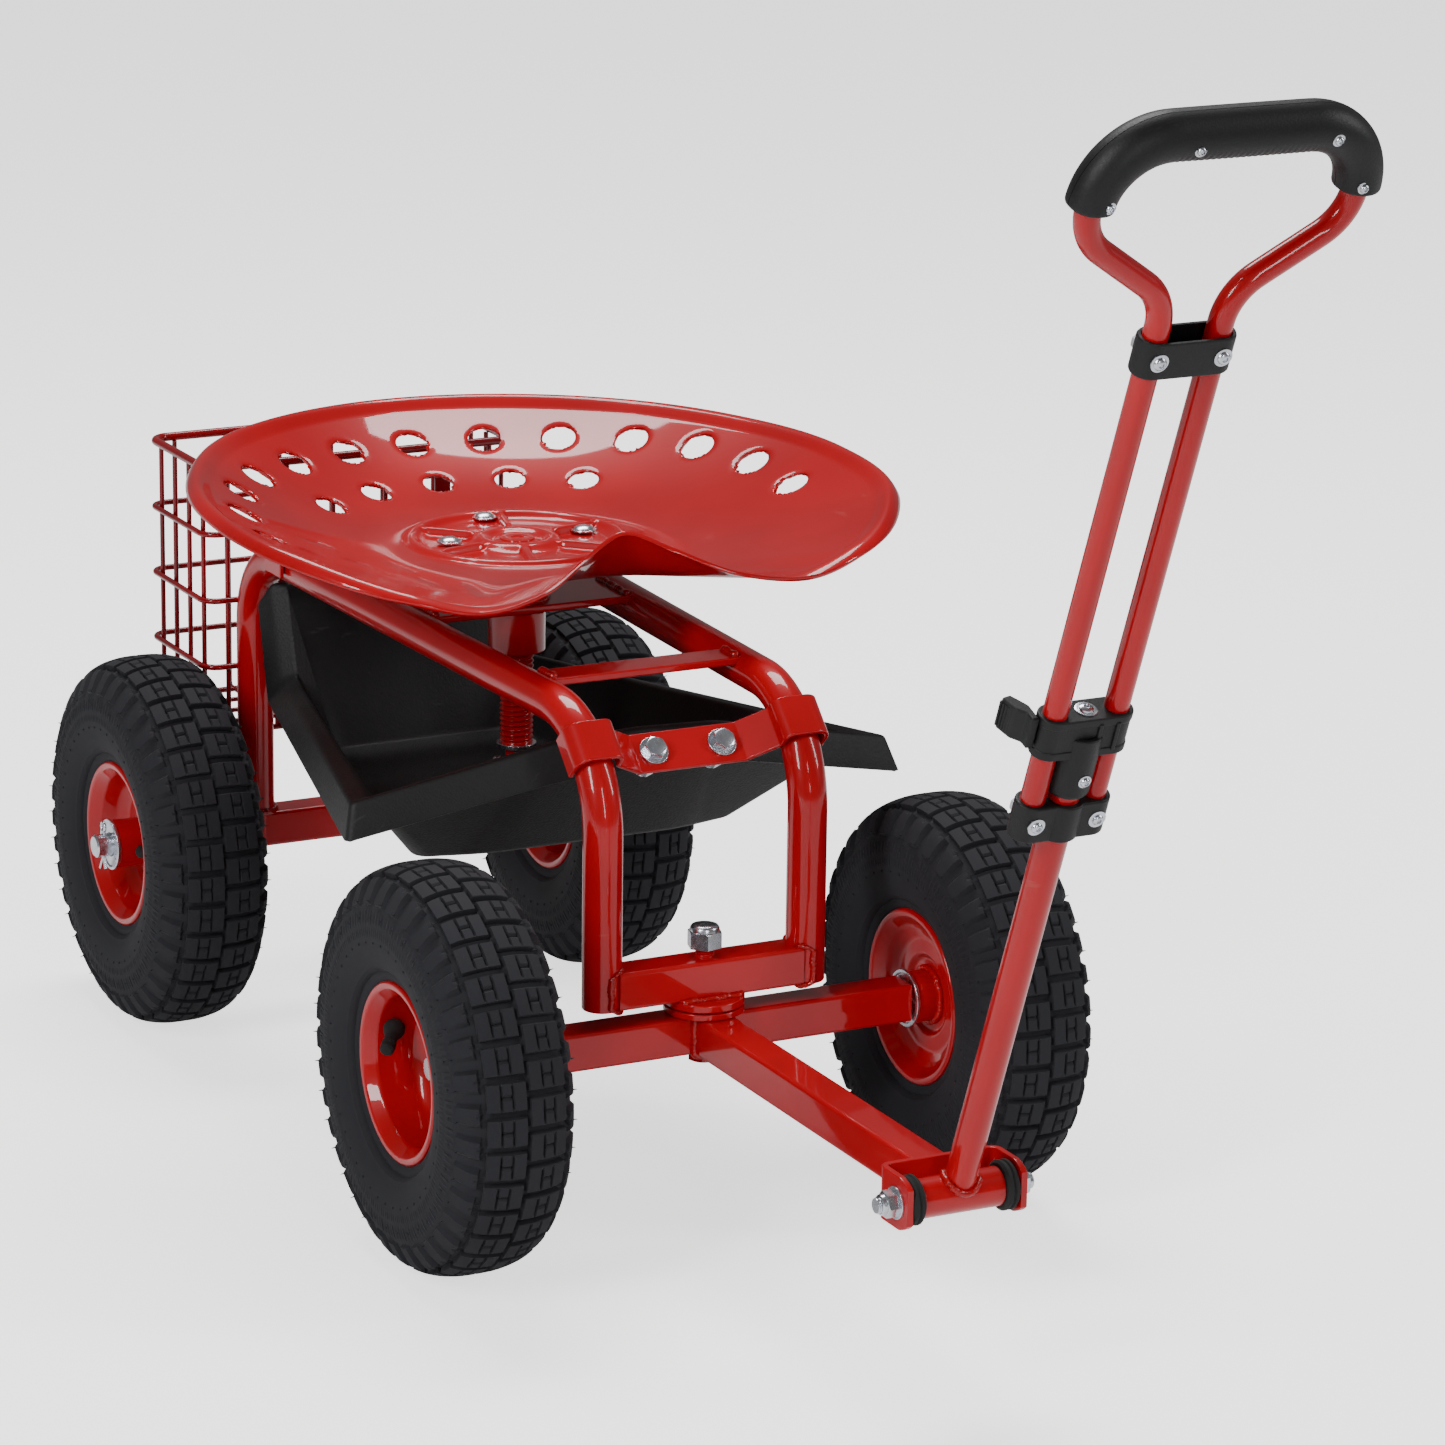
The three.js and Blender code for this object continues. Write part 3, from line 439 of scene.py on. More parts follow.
@dataclass
class Sheet:
    """A grid of points in rows and columns, in millimetres, and the way its edges close."""

    points: Array
    loop_rows: bool = False
    loop_columns: bool = True
    capped: bool = False
    keep: Optional[Array] = None

    def faces(self, start: int) -> list[list[int]]:
        """Quads between neighbouring points, numbered from start, and a flat face on each capped end."""
        rows, columns = self.points.shape[:2]
        index = np.arange(rows * columns).reshape(rows, columns) + start
        if self.loop_rows:
            index = np.vstack([index, index[:1]])
        if self.loop_columns:
            index = np.hstack([index, index[:, :1]])
        quads = np.stack([index[:-1, :-1], index[1:, :-1], index[1:, 1:], index[:-1, 1:]], -1).reshape(-1, 4)
        if self.keep is not None:
            quads = quads[self.keep.reshape(-1)]
        faces = quads.tolist()
        if self.capped:
            faces.append(index[0, :columns].tolist())
            faces.append(index[-1, :columns][::-1].tolist())
        return faces

    def moved(self, matrix: Array, origin: Array) -> "Sheet":
        """The same sheet turned by a 3 x 3 matrix and then shifted."""
        return replace(self, points=self.points @ matrix.T + origin)


def carried(path: Array, section: Array, normal: Array, closed: bool = False, size: Any = 1.0) -> Sheet:
    """Section carried along a path.

    A point is path + size * (u * side + v * normal), with side = normal x tangent.
    """
    step = np.roll(path, -1, 0) - np.roll(path, 1, 0) if closed else np.gradient(path, axis=0)
    tangent = unit(step)
    normal = np.broadcast_to(unit(normal), path.shape)
    side = unit(np.cross(normal, tangent))
    scale = np.broadcast_to(np.asarray(size, float), (len(path),))[:, None, None]
    outline = section if section.ndim == 3 else section[None]
    grid = path[:, None] + scale * (outline[..., :1] * side[:, None] + outline[..., 1:] * normal[:, None])
    return Sheet(grid, loop_rows=closed, capped=not closed)


def lathed(profile: Sequence[Sequence[float]], origin: Array, axis: Array, segments: int = 48,
           closed: bool = False) -> Sheet:
    """Profile of (along, radius) points turned about an axis: origin + along * axis + radius * spoke."""
    profile = np.asarray(profile, float)
    axis = unit(np.asarray(axis, float))
    first, second = across(axis)
    angle = (np.arange(segments) / segments * TAU)[:, None]
    spokes = np.cos(angle) * first + np.sin(angle) * second
    grid = np.asarray(origin) + profile[:, :1, None] * axis + profile[:, 1:, None] * spokes[None]
    return Sheet(grid, loop_rows=closed)


def pin(origin: Array, axis: Array, length: float, radius: float, edge: float = 0.6,
        segments: int = 32) -> Sheet:
    """Round pin from its origin along its axis, with bevelled ends."""
    profile = [[0, 0], [0, radius - edge], [edge, radius], [length - edge, radius], [length, radius - edge],
               [length, 0]]
    return lathed(profile, origin, axis, segments)


def washer(origin: Array, axis: Array, length: float, outer: float, inner: float) -> Sheet:
    """Flat ring with softened edges."""
    edge = min(0.35, length / 4.0)
    corners = [[0, inner], [0, outer], [length, outer], [length, inner]]
    return lathed(rounded(corners, edge, closed=True, step=30.0), origin, axis, 56, closed=True)


def hexagon(origin: Array, axis: Array, flats: float, height: float, turn: float = 0.0) -> Sheet:
    """Hexagonal head: half the flats over a column's cosine is its radius, cut to a chamfered top."""
    axis = unit(np.asarray(axis, float))
    first, second = across(axis)
    angle = np.arange(48) / 48 * TAU
    flat = (angle + np.pi / 6) % (np.pi / 3) - np.pi / 6
    reach = flats / 2.0 / np.cos(flat)
    uncut = 9e9
    rows = [[0.0, 0.0, 0.0], [0.0, 1.0, uncut], [1.0, 1.0, uncut], [1.0, 1.0, flats * 0.505],
            [1.08, 1.0, flats * 0.44], [1.08, 0.0, 0.0]]
    radii = np.array([np.minimum(reach * scale, limit) for _, scale, limit in rows])
    drop = np.where(radii[2] > flats * 0.51, (radii[2] - flats * 0.51) * 0.5, 0.0)
    along = np.array([share * height for share, _, _ in rows])[:, None] - np.zeros(48)
    along[2] -= drop
    spokes = np.cos(angle + turn)[:, None] * first + np.sin(angle + turn)[:, None] * second
    grid = np.asarray(origin) + along[..., None] * axis + radii[..., None] * spokes
    return Sheet(grid)


def screw_head(origin: Array, axis: Array, radius: float, flange: float) -> Sheet:
    """Domed screw head on its washer, with a round driving recess."""
    profile = [[0, 0], [0, flange], [0.7, flange], [0.9, flange - 0.4], [0.9, radius], [1.9, radius * 0.94],
               [2.6, radius * 0.72], [2.9, radius * 0.46], [1.9, radius * 0.4], [1.7, 0]]
    return lathed(profile, origin, axis, 32)


def slab(outline: Array, z0: float, z1: float, edge: float) -> Sheet:
    """Outline in X and Y raised from one height to another, with its edges rounded by a quarter circle."""
    tangent = unit(np.roll(outline, -1, 0) - np.roll(outline, 1, 0))
    outward = np.stack([tangent[:, 1], -tangent[:, 0]], -1)
    angle = np.linspace(0.0, np.pi / 2, 5)
    inset = edge * (1.0 - np.sin(angle))
    rise = edge * (1.0 - np.cos(angle))
    insets = np.concatenate([inset, inset[::-1]])
    heights = np.concatenate([z0 + rise, z1 - rise[::-1]])
    flat = outline[None] - insets[:, None, None] * outward[None]
    z = np.broadcast_to(heights[:, None, None], flat.shape[:2] + (1,))
    return Sheet(np.concatenate([flat, z], -1), capped=True)


def weld(path: Array, normal: Array, radius: float = 2.4, closed: bool = False) -> Sheet:
    """Weld bead: a round section whose size swells and sags in overlapping ripples along the joint."""
    path = spaced(np.asarray(path, float), 0.7, closed)
    along = np.arange(len(path)) * 0.7
    ripple = 1.0 + 0.16 * np.abs(np.sin(along * 0.95)) + 0.1 * np.sin(along * 0.31 + 1.0)
    ripple += 0.07 * np.sin(along * 2.3)
    if not closed:
        ripple *= np.clip(np.minimum(np.arange(len(path)), np.arange(len(path))[::-1]) / 4.0 + 0.35, 0.0, 1.0)
    wander = 0.25 * np.sin(along * 0.53)[:, None] * np.asarray(unit(normal))
    return carried(path + wander, round_section(radius, 12), normal, closed, ripple)


# ------------------------------------------------------------------ pieces


@dataclass
class Piece:
    """One visible piece: its name, the body it moves with, its finish and the CAD nodes it stands for."""

    name: str
    body: str
    finish: Finish
    replaces: Sequence[str] = ()
    sharp: float = 38.0

    def make(self, sheets: Iterable[Sheet], thickness: float = 0.0) -> bpy.types.Object:
        """Args:
            sheets: The surfaces of the piece.
            thickness: Wall to grow below an open surface, in millimetres.

        Returns:
            The finished object.
        """
        points, faces = [], []
        start = 0
        for sheet in sheets:
            flat = sheet.points.reshape(-1, 3)
            points.append(flat)
            faces.extend(sheet.faces(start))
            start += len(flat)
        mesh = bpy.data.meshes.new(self.name)
        mesh.from_pydata((np.vstack(points) * MM + STEERING_AXIS).tolist(), [], faces)
        made = bpy.data.objects.new(self.name, mesh)
        bpy.context.scene.collection.objects.link(made)
        tidy_mesh(mesh, self.sharp)
        if thickness:
            wall = made.modifiers.new("wall", "SOLIDIFY")
            wall.thickness = thickness * MM
            wall.offset = -1.0
            wall.use_quality_normals = True
        flat = made.modifiers.new("flat_faces", "WEIGHTED_NORMAL")
        flat.keep_sharp = True
        return self.declare(made)

    def declare(self, made: bpy.types.Object) -> bpy.types.Object:
        """Gives the object its finish and body, and hides the nodes it replaces."""
        made.data.materials.clear()
        made.data.materials.append(self.finish.material)
        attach(made, self.body)
        if self.replaces:
            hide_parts(*self.replaces)
        log.info("%s: %d faces on %s", self.name, len(made.data.polygons), self.body)
        return made


def tidy_mesh(mesh: bpy.types.Mesh, sharp: float) -> None:
    """Merges doubled points, turns the faces outwards and shades smooth up to an angle in degrees."""
    work = bmesh.new()
    work.from_mesh(mesh)
    bmesh.ops.remove_doubles(work, verts=work.verts, dist=2e-6)
    loose = [v for v in work.verts if not v.link_faces]
    bmesh.ops.delete(work, geom=loose, context="VERTS")
    bmesh.ops.recalc_face_normals(work, faces=work.faces)
    work.to_mesh(mesh)
    work.free()
    mesh.shade_smooth()
    mesh.set_sharp_from_angle(angle=np.radians(sharp))
    mesh.update()


# ------------------------------------------------------------------ wheels


@dataclass
class Tyre:
    """Pneumatic tyre with staggered tread blocks, shoulder lugs, sidewall ribs and moulding nibs."""

    pitches: int = 36
    block_height: float = 3.8
    sipe_depth: float = 1.9
    block_half_length: float = 8.9
    groove_ramp: float = 0.7
    outer: Array = field(default_factory=lambda: np.array([
        [0, 126.2], [12, 125.6], [24, 122.3], [33, 114.8], [38.6, 103.5], [40.6, 90], [38.8, 76], [34.6, 66],
        [31.6, 62.2], [30.6, 59.2], [29.0, 57.0]], float))
    bead_radius: float = 53.0

    def half_outline(self) -> tuple[Array, Array]:
        """Smooth half section from the crown to the bead, and the arc length at each of its points."""
        keys = np.concatenate([[0.0], np.cumsum(np.linalg.norm(np.diff(self.outer, axis=0), axis=1))])
        at = np.linspace(0.0, keys[-1], 400)
        curve = smooth_table(at, keys, self.outer)
        length = np.concatenate([[0.0], np.cumsum(np.linalg.norm(np.diff(curve, axis=0), axis=1))])
        return curve, length

    def stations(self, total: float) -> Array:
        """Arc lengths of the rows of the mesh: even, and doubled at each edge of the tread blocks."""
        edges = np.array([1.1, 9.3, 10.5, 16.3, 17.5, 25.2, 28.8, 45.6])
        pairs = np.concatenate([edges - 0.35, edges + 0.35])
        even = (np.arange(0.0, 48.0, 2.6), np.arange(49.0, total, 1.55))
        return np.unique(np.concatenate([*even, pairs, [total]]))

    def fractions(self) -> Array:
        """Places of the columns within one pitch: even, and doubled at each end of the blocks."""
        ends = np.array([0.10, 0.40, 0.60, 0.90])
        slits = np.array([0.0, 0.5])
        places = [ends - 0.014, ends + 0.014, slits + 0.022, (slits - 0.022) % 1.0, slits]
        return np.unique(np.round(np.concatenate([*places, np.arange(0.14, 1.0, 0.12)]), 4))

    def relief(self, arc: Array, turn: Array, side: float) -> Array:
        """Height above the casing.

        A block is the product of ramps at its four edges; a sipe takes a slit out of it.  The rows of the
        two sides are half a pitch apart, and so are the lugs and the blocks beside them.

        Args:
            arc: Distance from the crown, in millimetres, one per row.
            turn: Place round the tyre in pitches, one per column.
            side: 1 or -1 for the side of the tyre.

        Returns:
            Heights for each row and column.
        """
        s, q = arc[:, None], turn[None, :] + (0.5 if side < 0 else 0.0)
        pitch = TAU * 128.0 / self.pitches

        def ramp(d: Array) -> Array:
            """0 to 1 over the width of a groove's flank, centred where d is 0."""
            return np.clip(d / self.groove_ramp + 0.5, 0.0, 1.0)

        def from_middle(shift: float) -> Array:
            """Distance round the tyre from the middle of the shifted pitch."""
            return np.abs((q + shift) % 1.0 - 0.5) * pitch

        zigzag = np.abs((q * 3.0) % 1.0 - 0.5) * 2.2
        block = ramp(s - 0.6 - zigzag * 0.5) * ramp(25.2 - s)
        block = block * ramp(self.block_half_length - from_middle(0.0))
        slit = ramp(0.6 - np.minimum(np.abs(s - 9.9), np.abs(s - 16.9))) * ramp(6.4 - from_middle(0.0))
        cross = ramp(0.55 - from_middle(0.0)) * ramp(s - 9.9) * ramp(16.9 - s)
        lug = ramp(s - 28.2 - zigzag * 0.8) * ramp(45.6 - s + 0.25 * zigzag)
        lug = lug * ramp(self.block_half_length - 1.6 - from_middle(0.5))
        fade = np.clip((51.0 - s) / 19.0, 0.6, 1.0)
        tread = (block + lug * fade) * self.block_height - (slit + cross) * block * self.sipe_depth
        dashes = ramp(s - 50.0) * ramp(57.0 - s)
        dashes = dashes * ramp(0.32 - np.abs((q * 4.0) % 1.0 - 0.5) * pitch / 4.0 + 0.5)
        dashes = dashes * (np.abs(q % 1.0 - 0.5) > 0.12)
        rings = sum(ramp(0.5 - np.abs(s - at)) for at in (48.6, 59.2, 66.4, 86.5))
        knurl = ramp(s - 61.0) * ramp(65.0 - s) * (0.5 + 0.5 * np.sin(q * TAU * 5.0))
        groove = ramp(1.0 - np.abs(s - 90.5))
        return tread + dashes * 0.6 + rings * 0.5 + knurl * 0.55 - groove * 1.2

    def sheets(self, centre: Array) -> list[Sheet]:
        """Casing with its tread, closed under the rim, and the nibs on its sides."""
        curve, length = self.half_outline()
        arc = self.stations(length[-1])
        x, r = np.interp(arc, length, curve[:, 0]), np.interp(arc, length, curve[:, 1])
        slope = unit(np.stack([np.gradient(x, arc), np.gradient(r, arc)], -1))
        turn = np.add.outer(np.arange(self.pitches), self.fractions()).reshape(-1)
        angle = turn / self.pitches * TAU
        halves = []
        for side in (1.0, -1.0):
            height = self.relief(arc, turn, side)
            along = side * (x[:, None] - slope[:, 1:] * height)
            radius = r[:, None] + slope[:, :1] * height
            halves.append((along, radius))
        (right_x, right_r), (left_x, left_r) = halves
        bead = np.full((1, len(angle)), self.bead_radius)
        inner = np.full((1, len(angle)), 24.0)
        along = np.vstack([left_x[::-1], right_x[1:], inner, -inner])
        radius = np.vstack([left_r[::-1], right_r[1:], bead, bead])
        grid = np.stack([along, radius * np.cos(angle), radius * np.sin(angle)], -1) + centre
        return [Sheet(grid, loop_rows=True)] + self.nibs(centre, curve, length)

    def nibs(self, centre: Array, curve: Array, length: Array) -> list[Sheet]:
        """Rings of small round nibs on the sidewalls and fine vent hairs on the shoulder lugs."""
        made = []
        for at, count, radius, height in ((69.5, 44, 0.95, 1.0), (54.0, 36, 0.9, 1.1), (44.0, 36, 0.5, 4.8)):
            x, r = np.interp(at, length, curve[:, 0]), np.interp(at, length, curve[:, 1])
            ahead = np.array([np.interp(at + 1, length, curve[:, 0]), np.interp(at + 1, length, curve[:, 1])])
            tangent = unit(ahead - np.array([x, r]))
            for side in (1.0, -1.0):
                angle = (np.arange(count) + 0.25 * side) / count * TAU
                spoke = np.stack([np.zeros(count), np.cos(angle), np.sin(angle)], -1)
                out = unit(-tangent[1] * side * X_AXIS + tangent[0] * spoke)
                base = centre + side * x * X_AXIS + r * spoke - out * 0.2
                along, round_way = np.cross(out, X_AXIS), np.cross(out, np.cross(out, X_AXIS))
                lift = np.array([0.0, 0.55, 0.9, 1.0])[:, None, None, None] * height
                width = np.array([1.0, 0.85, 0.45, 0.0])[:, None, None, None] * radius
                spin = (np.arange(6) / 6 * TAU)[None, :, None, None]
                ring = np.cos(spin) * unit(along) + np.sin(spin) * unit(round_way)
                dots = base + lift * out + width * ring
                made.extend(Sheet(dots[:, :, i]) for i in range(count))
        return made


@dataclass
class Rim:
    """Pressed dish rim on a tube hub, with a rubber valve stem in the outer dish."""

    bore: float = 8.2
    hub_inner: float = 34.0
    hub_outer: float = 34.0
    web: float = 0.0
    hub_radius: float = 17.0
    lip: float = 31.6
    valve_out: float = 15.0
    valve_radius: float = 43.0
    valve_lean: float = 34.0

    def half_profile(self, hub: float, web: float) -> Array:
        """Outline of one side as (along, radius): hub end, hub, web, dish wall, rolled lip and well."""
        corners = [[hub, self.bore], [hub, self.hub_radius - 3.6], [hub - 1.2, 13.4], [hub - 1.2, 15.2],
                   [hub, 15.2], [hub, self.hub_radius], [web + 5.0, self.hub_radius], [web + 4.0, 24.0],
                   [web + 7.0, 27.0], [web + 6.5, 38.0], [min(web + 13.0, 22.0), 44.0], [24.0, 47.5],
                   [self.lip, 53.2], [self.lip + 0.6, 57.6], [27.6, 58.6], [27.0, 55.0], [22.0, 50.5],
                   [13.0, 47.8]]
        radii = [0.4, 0.3, 0.2, 0.2, 0.3, 0.8, 3.0, 3.0, 3.0, 9.0, 9.0, 6.0, 3.0, 2.2, 1.2, 1.5, 3.0, 3.0]
        return rounded(corners, radii, step=14.0)

    def sheets(self, centre: Array, side: float) -> list[Sheet]:
        """Rim turned about the axle, both halves in one closed outline, and the hub's weld rings."""
        outer = self.half_profile(self.hub_outer, self.web)
        inner = self.half_profile(self.hub_inner, -self.web)
        profile = np.vstack([outer, inner[::-1] * [-1.0, 1.0]])
        made = [lathed(profile, centre, side * X_AXIS, 120, closed=True)]
        angle = np.linspace(0.0, TAU, 90, endpoint=False)
        spoke = np.stack([np.zeros(90), np.cos(angle), np.sin(angle)], -1)
        for out in (1.0, -1.0):
            ring = centre + side * (self.web + out * 6.2) * X_AXIS + (self.hub_radius + 0.8) * spoke
            made.append(weld(ring, X_AXIS, 1.9, closed=True))
        return made

    def valve(self, centre: Array, side: float, degrees: float) -> list[Sheet]:
        """Valve stem: a snap-in bulb, a neck and a ribbed cap, leaning in from the wall of the dish."""
        angle = np.radians(degrees)
        spoke = np.array([0.0, np.cos(angle), np.sin(angle)])
        lean = np.radians(self.valve_lean)
        base = centre + side * self.valve_out * X_AXIS + self.valve_radius * spoke
        profile = [[-2, 0], [-2, 6.6], [1, 7.0], [4, 6.2], [7, 4.6], [10, 4.2], [15, 3.9], [15.3, 4.6],
                   [17, 4.7], [17.5, 4.3], [18, 4.7], [19, 4.7], [19.5, 4.3], [20, 4.7], [23, 4.5],
                   [24.4, 3.2], [24.8, 0]]
        return [lathed(profile, base, side * np.sin(lean) * X_AXIS - np.cos(lean) * spoke, 32)]


@dataclass
class Wheel:
    """One wheel with what holds it on its axle: two washers, the axle's end and a split pin."""

    corner: str
    side_name: str
    valve_degrees: float
    carrier: str
    tyre: Tyre = field(default_factory=Tyre)
    rim: Rim = field(default_factory=Rim)

    def build(self) -> None:
        """Makes the tyre, rim and valve on the wheel, and the washers and pin on its carrier."""
        name = f"{self.corner}_{self.side_name}"
        side = SIDES[self.side_name]
        centre = middle_mm(f"{name}_tyre")
        body = f"{name}_wheel"
        Piece(f"{name}_tread_tyre", body, Finish.TYRE, [f"{name}_tyre"], 28).make(self.tyre.sheets(centre))
        Piece(f"{name}_dish_rim", body, Finish.RED, [f"{name}_rim"], 50).make(self.rim.sheets(centre, side))
        stem = self.rim.valve(centre, side, self.valve_degrees)
        Piece(f"{name}_valve_stem", body, Finish.RUBBER).make(stem)
        ends = ((side, self.rim.hub_outer), (-side, self.rim.hub_inner))
        seals = [washer(centre + way * (at - 1.1) * X_AXIS, way * X_AXIS, 0.9, 15.0, 9.4) for way, at in ends]
        Piece(f"{name}_bearing_faces", body, Finish.ZINC).make(seals)
        for place in ("outer", "inner"):
            self.washer(name, place, side if place == "outer" else -side)
        self.axle_end(name, side)

    def washer(self, name: str, place: str, out: float) -> None:
        """A dished washer against the hub, with a raised rolled edge."""
        low, high = box_mm(f"{name}_{place}_washer")
        start = (low + high) / 2.0
        start[0] = low[0] if out > 0 else high[0]
        outer = (high[2] - low[2]) / 2.0
        corners = [[0, 8.4], [0, outer], [2.4, outer], [2.4, outer - 2.2], [1.6, outer - 3.0], [1.6, 8.4]]
        sheet = lathed(rounded(corners, 0.5, closed=True, step=25.0), start, out * X_AXIS, 72, closed=True)
        Piece(f"{name}_{place}_hub_washer", self.carrier, Finish.ZINC,
              [f"{name}_{place}_washer"]).make([sheet])

    def axle_end(self, name: str, side: float) -> None:
        """Bright end of the axle rod and its opened split pin."""
        axle = box_mm(f"{self.corner}_axle_beam")
        end = axle[1][0] if side > 0 else axle[0][0]
        centre = middle_mm(f"{name}_tyre")
        start = np.array([centre[0] + side * (self.rim.hub_outer - 12.0), centre[1], centre[2]])
        rod = pin(start, side * X_AXIS, abs(end - start[0]) + 0.2, 8.05, 1.2, 48)
        Piece(f"{name}_axle_tip", self.carrier, Finish.ZINC).make([rod])
        at = middle_mm(f"{name}_cotter_pin")
        Piece(f"{name}_split_pin", self.carrier, Finish.ZINC, [f"{name}_cotter_pin"]).make(
            split_pin(np.array([at[0], centre[1], centre[2]]), 8.0))


def split_pin(centre: Array, rod: float) -> list[Sheet]:
    """Split pin down through a rod: a round eye on top and two legs opened below."""
    angle = np.linspace(-0.5 * np.pi + 0.5, 1.5 * np.pi - 0.5, 20)
    eye = np.stack([np.zeros(20), 3.2 * np.cos(angle), rod + 5.4 + 3.2 * np.sin(angle)], -1)
    legs = []
    for way, spread, length in ((1.0, 7.0, 15.0), (-1.0, 3.5, 12.0)):
        legs.append(rounded([[0, 0.8 * way, rod + 2.4], [0, 0.8 * way, -rod - 1.0],
                             [0, way * spread, -rod - length * 0.7]], 2.0))
    return [carried(p + centre, round_section(1.15, 10), X_AXIS) for p in (eye, *legs)]


# ------------------------------------------------------------------ chassis


@dataclass
class Chassis:
    """Bent side tubes, cross members, axle beam and the saddle straps that carry the tray."""

    radius: float = 12.7
    front_x: float = 72.0
    rear_x: float = 89.5
    wheelbase: float = 530.5
    front_bend: float = 70.0
    rear_bend: float = 55.0
    wall: float = 1.6

    def rail_x(self, y: float) -> float:
        """Distance of a rail's centre from the plane of symmetry."""
        return self.front_x + (self.rear_x - self.front_x) * y / self.wheelbase

    def build(self) -> None:
        """Makes every piece of the frame in order."""
        for name, side in SIDES.items():
            self.side_tube(name, side)
        self.front_crossbar()
        self.rear_axle()
        self.mid_plate()
        self.seat_plate()
        self.strap("front", self.front_bend * (1.0 - np.sqrt(0.5)), np.pi / 4, -11.0)
        self.strap("rear", 462.0, 0.0, -14.0)

    def side_tube(self, name: str, side: float) -> None:
        """One side tube, open below, with a drawn edge and a wall at each foot."""
        low, high = box_mm(f"{name}_side_tube")
        rail = high[2] - self.radius
        front, rear = side * self.front_x, side * self.rear_x
        feet = [low[2] + 35.0, low[2]]
        path = rounded([[front, 0, feet[0]], [front, 0, rail], [rear, self.wheelbase, rail],
                        [rear, self.wheelbase, feet[1]]], [0, self.front_bend, self.rear_bend, 0], step=4.0)
        plane = unit(np.cross([0, 0, 1], [rear - front, self.wheelbase, 0]))
        rises = np.array([[0, 0, 22], [0, 0, 0.01], [0, 0, 0], [0, 0, 0.7]])
        feet_path = np.vstack([path[:1] + rises, path[1:-1], path[-1:] + rises[[3, 2, 1, 0]]])
        sizes = np.ones(len(feet_path))
        bore = (self.radius - self.wall) / self.radius
        sizes[[0, 1, -1, -2]] = bore
        sizes[[2, -3]] = 0.965
        section = round_section(self.radius, 40)
        sheet = carried(feet_path, section, plane, size=sizes)
        front_ring, rear_ring = self.ring(section, Z_AXIS, plane), self.ring(section, -Z_AXIS, plane)
        for row in range(4):
            sheet.points[row] = feet_path[row] + sizes[row] * front_ring
            sheet.points[-1 - row] = feet_path[-1 - row] + sizes[-1 - row] * rear_ring
        Piece(f"{name}_bent_tube", "chassis", Finish.RED, [f"{name}_side_tube"], 50).make([sheet])

    @staticmethod
    def ring(section: Array, tangent: Array, plane: Array) -> Array:
        """Section turned square to a tangent, within the plane of the tube."""
        side = unit(np.cross(plane, tangent))
        return section[:, :1] * side + section[:, 1:] * plane

    def front_crossbar(self) -> None:
        """Square tube between the front legs, its end welds and the upper steering disc."""
        low, high = box_mm("front_crossbar")
        z = (low[2] + high[2]) / 2.0
        size = high[2] - low[2]
        reach = self.front_x - self.radius * 0.55
        path = np.array([[-reach, 0, z], [reach, 0, z]])
        Piece("front_cross_tube", "chassis", Finish.RED, ["front_crossbar"]).make(
            [carried(path, bar_section(size, size, 2.6), Z_AXIS)])
        beads = []
        for side in SIDES.values():
            ring = bar_section(size + 0.6, size + 0.6, 3.0)
            bow = self.front_x - np.sqrt(np.maximum(self.radius**2 - ring[:, 0] ** 2, 0.0)) - 0.6
            loop = np.stack([side * bow, ring[:, 0], z + ring[:, 1]], -1)
            beads.append(weld(loop, X_AXIS, 2.2, closed=True))
        Piece("crossbar_welds", "chassis", Finish.WELD, sharp=60).make(beads)
        low, high = box_mm("upper_steering_disc")
        profile = rounded([[0, 6.4], [0, 26], [5, 26], [5, 6.4]], 0.9, closed=True, step=20)
        at = np.array([0, 0, low[2]])
        Piece("upper_turntable_disc", "chassis", Finish.RED, ["upper_steering_disc"]).make(
            [lathed(profile, at, Z_AXIS, 80, closed=True)])
        angle = np.linspace(0, TAU, 120, endpoint=False)
        bead = np.stack([np.clip(23.5 * np.cos(angle), -40, 40), np.clip(23.5 * np.sin(angle), -13.4, 13.4),
                         np.full(120, high[2] + 0.5)], -1)
        Piece("turntable_weld", "chassis", Finish.WELD, sharp=60).make([weld(bead, Z_AXIS, 2.0, closed=True)])

    def rear_axle(self) -> None:
        """Square axle beam under the rear legs, with welds round the legs' feet."""
        low, high = box_mm("rear_axle_beam")
        axle_beam("rear", "chassis", self.wheelbase, ["rear_axle_beam"])
        beads = []
        for side in SIDES.values():
            angle = np.linspace(0, TAU, 60, endpoint=False)
            loop = np.stack([side * self.rear_x + (self.radius + 0.6) * np.cos(angle),
                             self.wheelbase + (self.radius + 0.6) * np.sin(angle) * 0.96,
                             np.full(60, high[2] + 0.6)], -1)
            beads.append(weld(loop, Z_AXIS, 2.2, closed=True))
        Piece("rear_leg_welds", "chassis", Finish.WELD, sharp=60).make(beads)

    def plate(self, name: str, node: str, corner: float) -> tuple[Array, Array]:
        """Flat cross plate between the rails, with softened long edges."""
        low, high = box_mm(node)
        y, z = (low[1] + high[1]) / 2.0, (low[2] + high[2]) / 2.0
        reach = self.rail_x(y) - self.radius * 0.5
        path = np.array([[-reach, y, z], [reach, y, z]])
        Piece(name, "chassis", Finish.RED, [node]).make(
            [carried(path, bar_section(high[1] - low[1], high[2] - low[2], corner), Z_AXIS)])
        return low, high

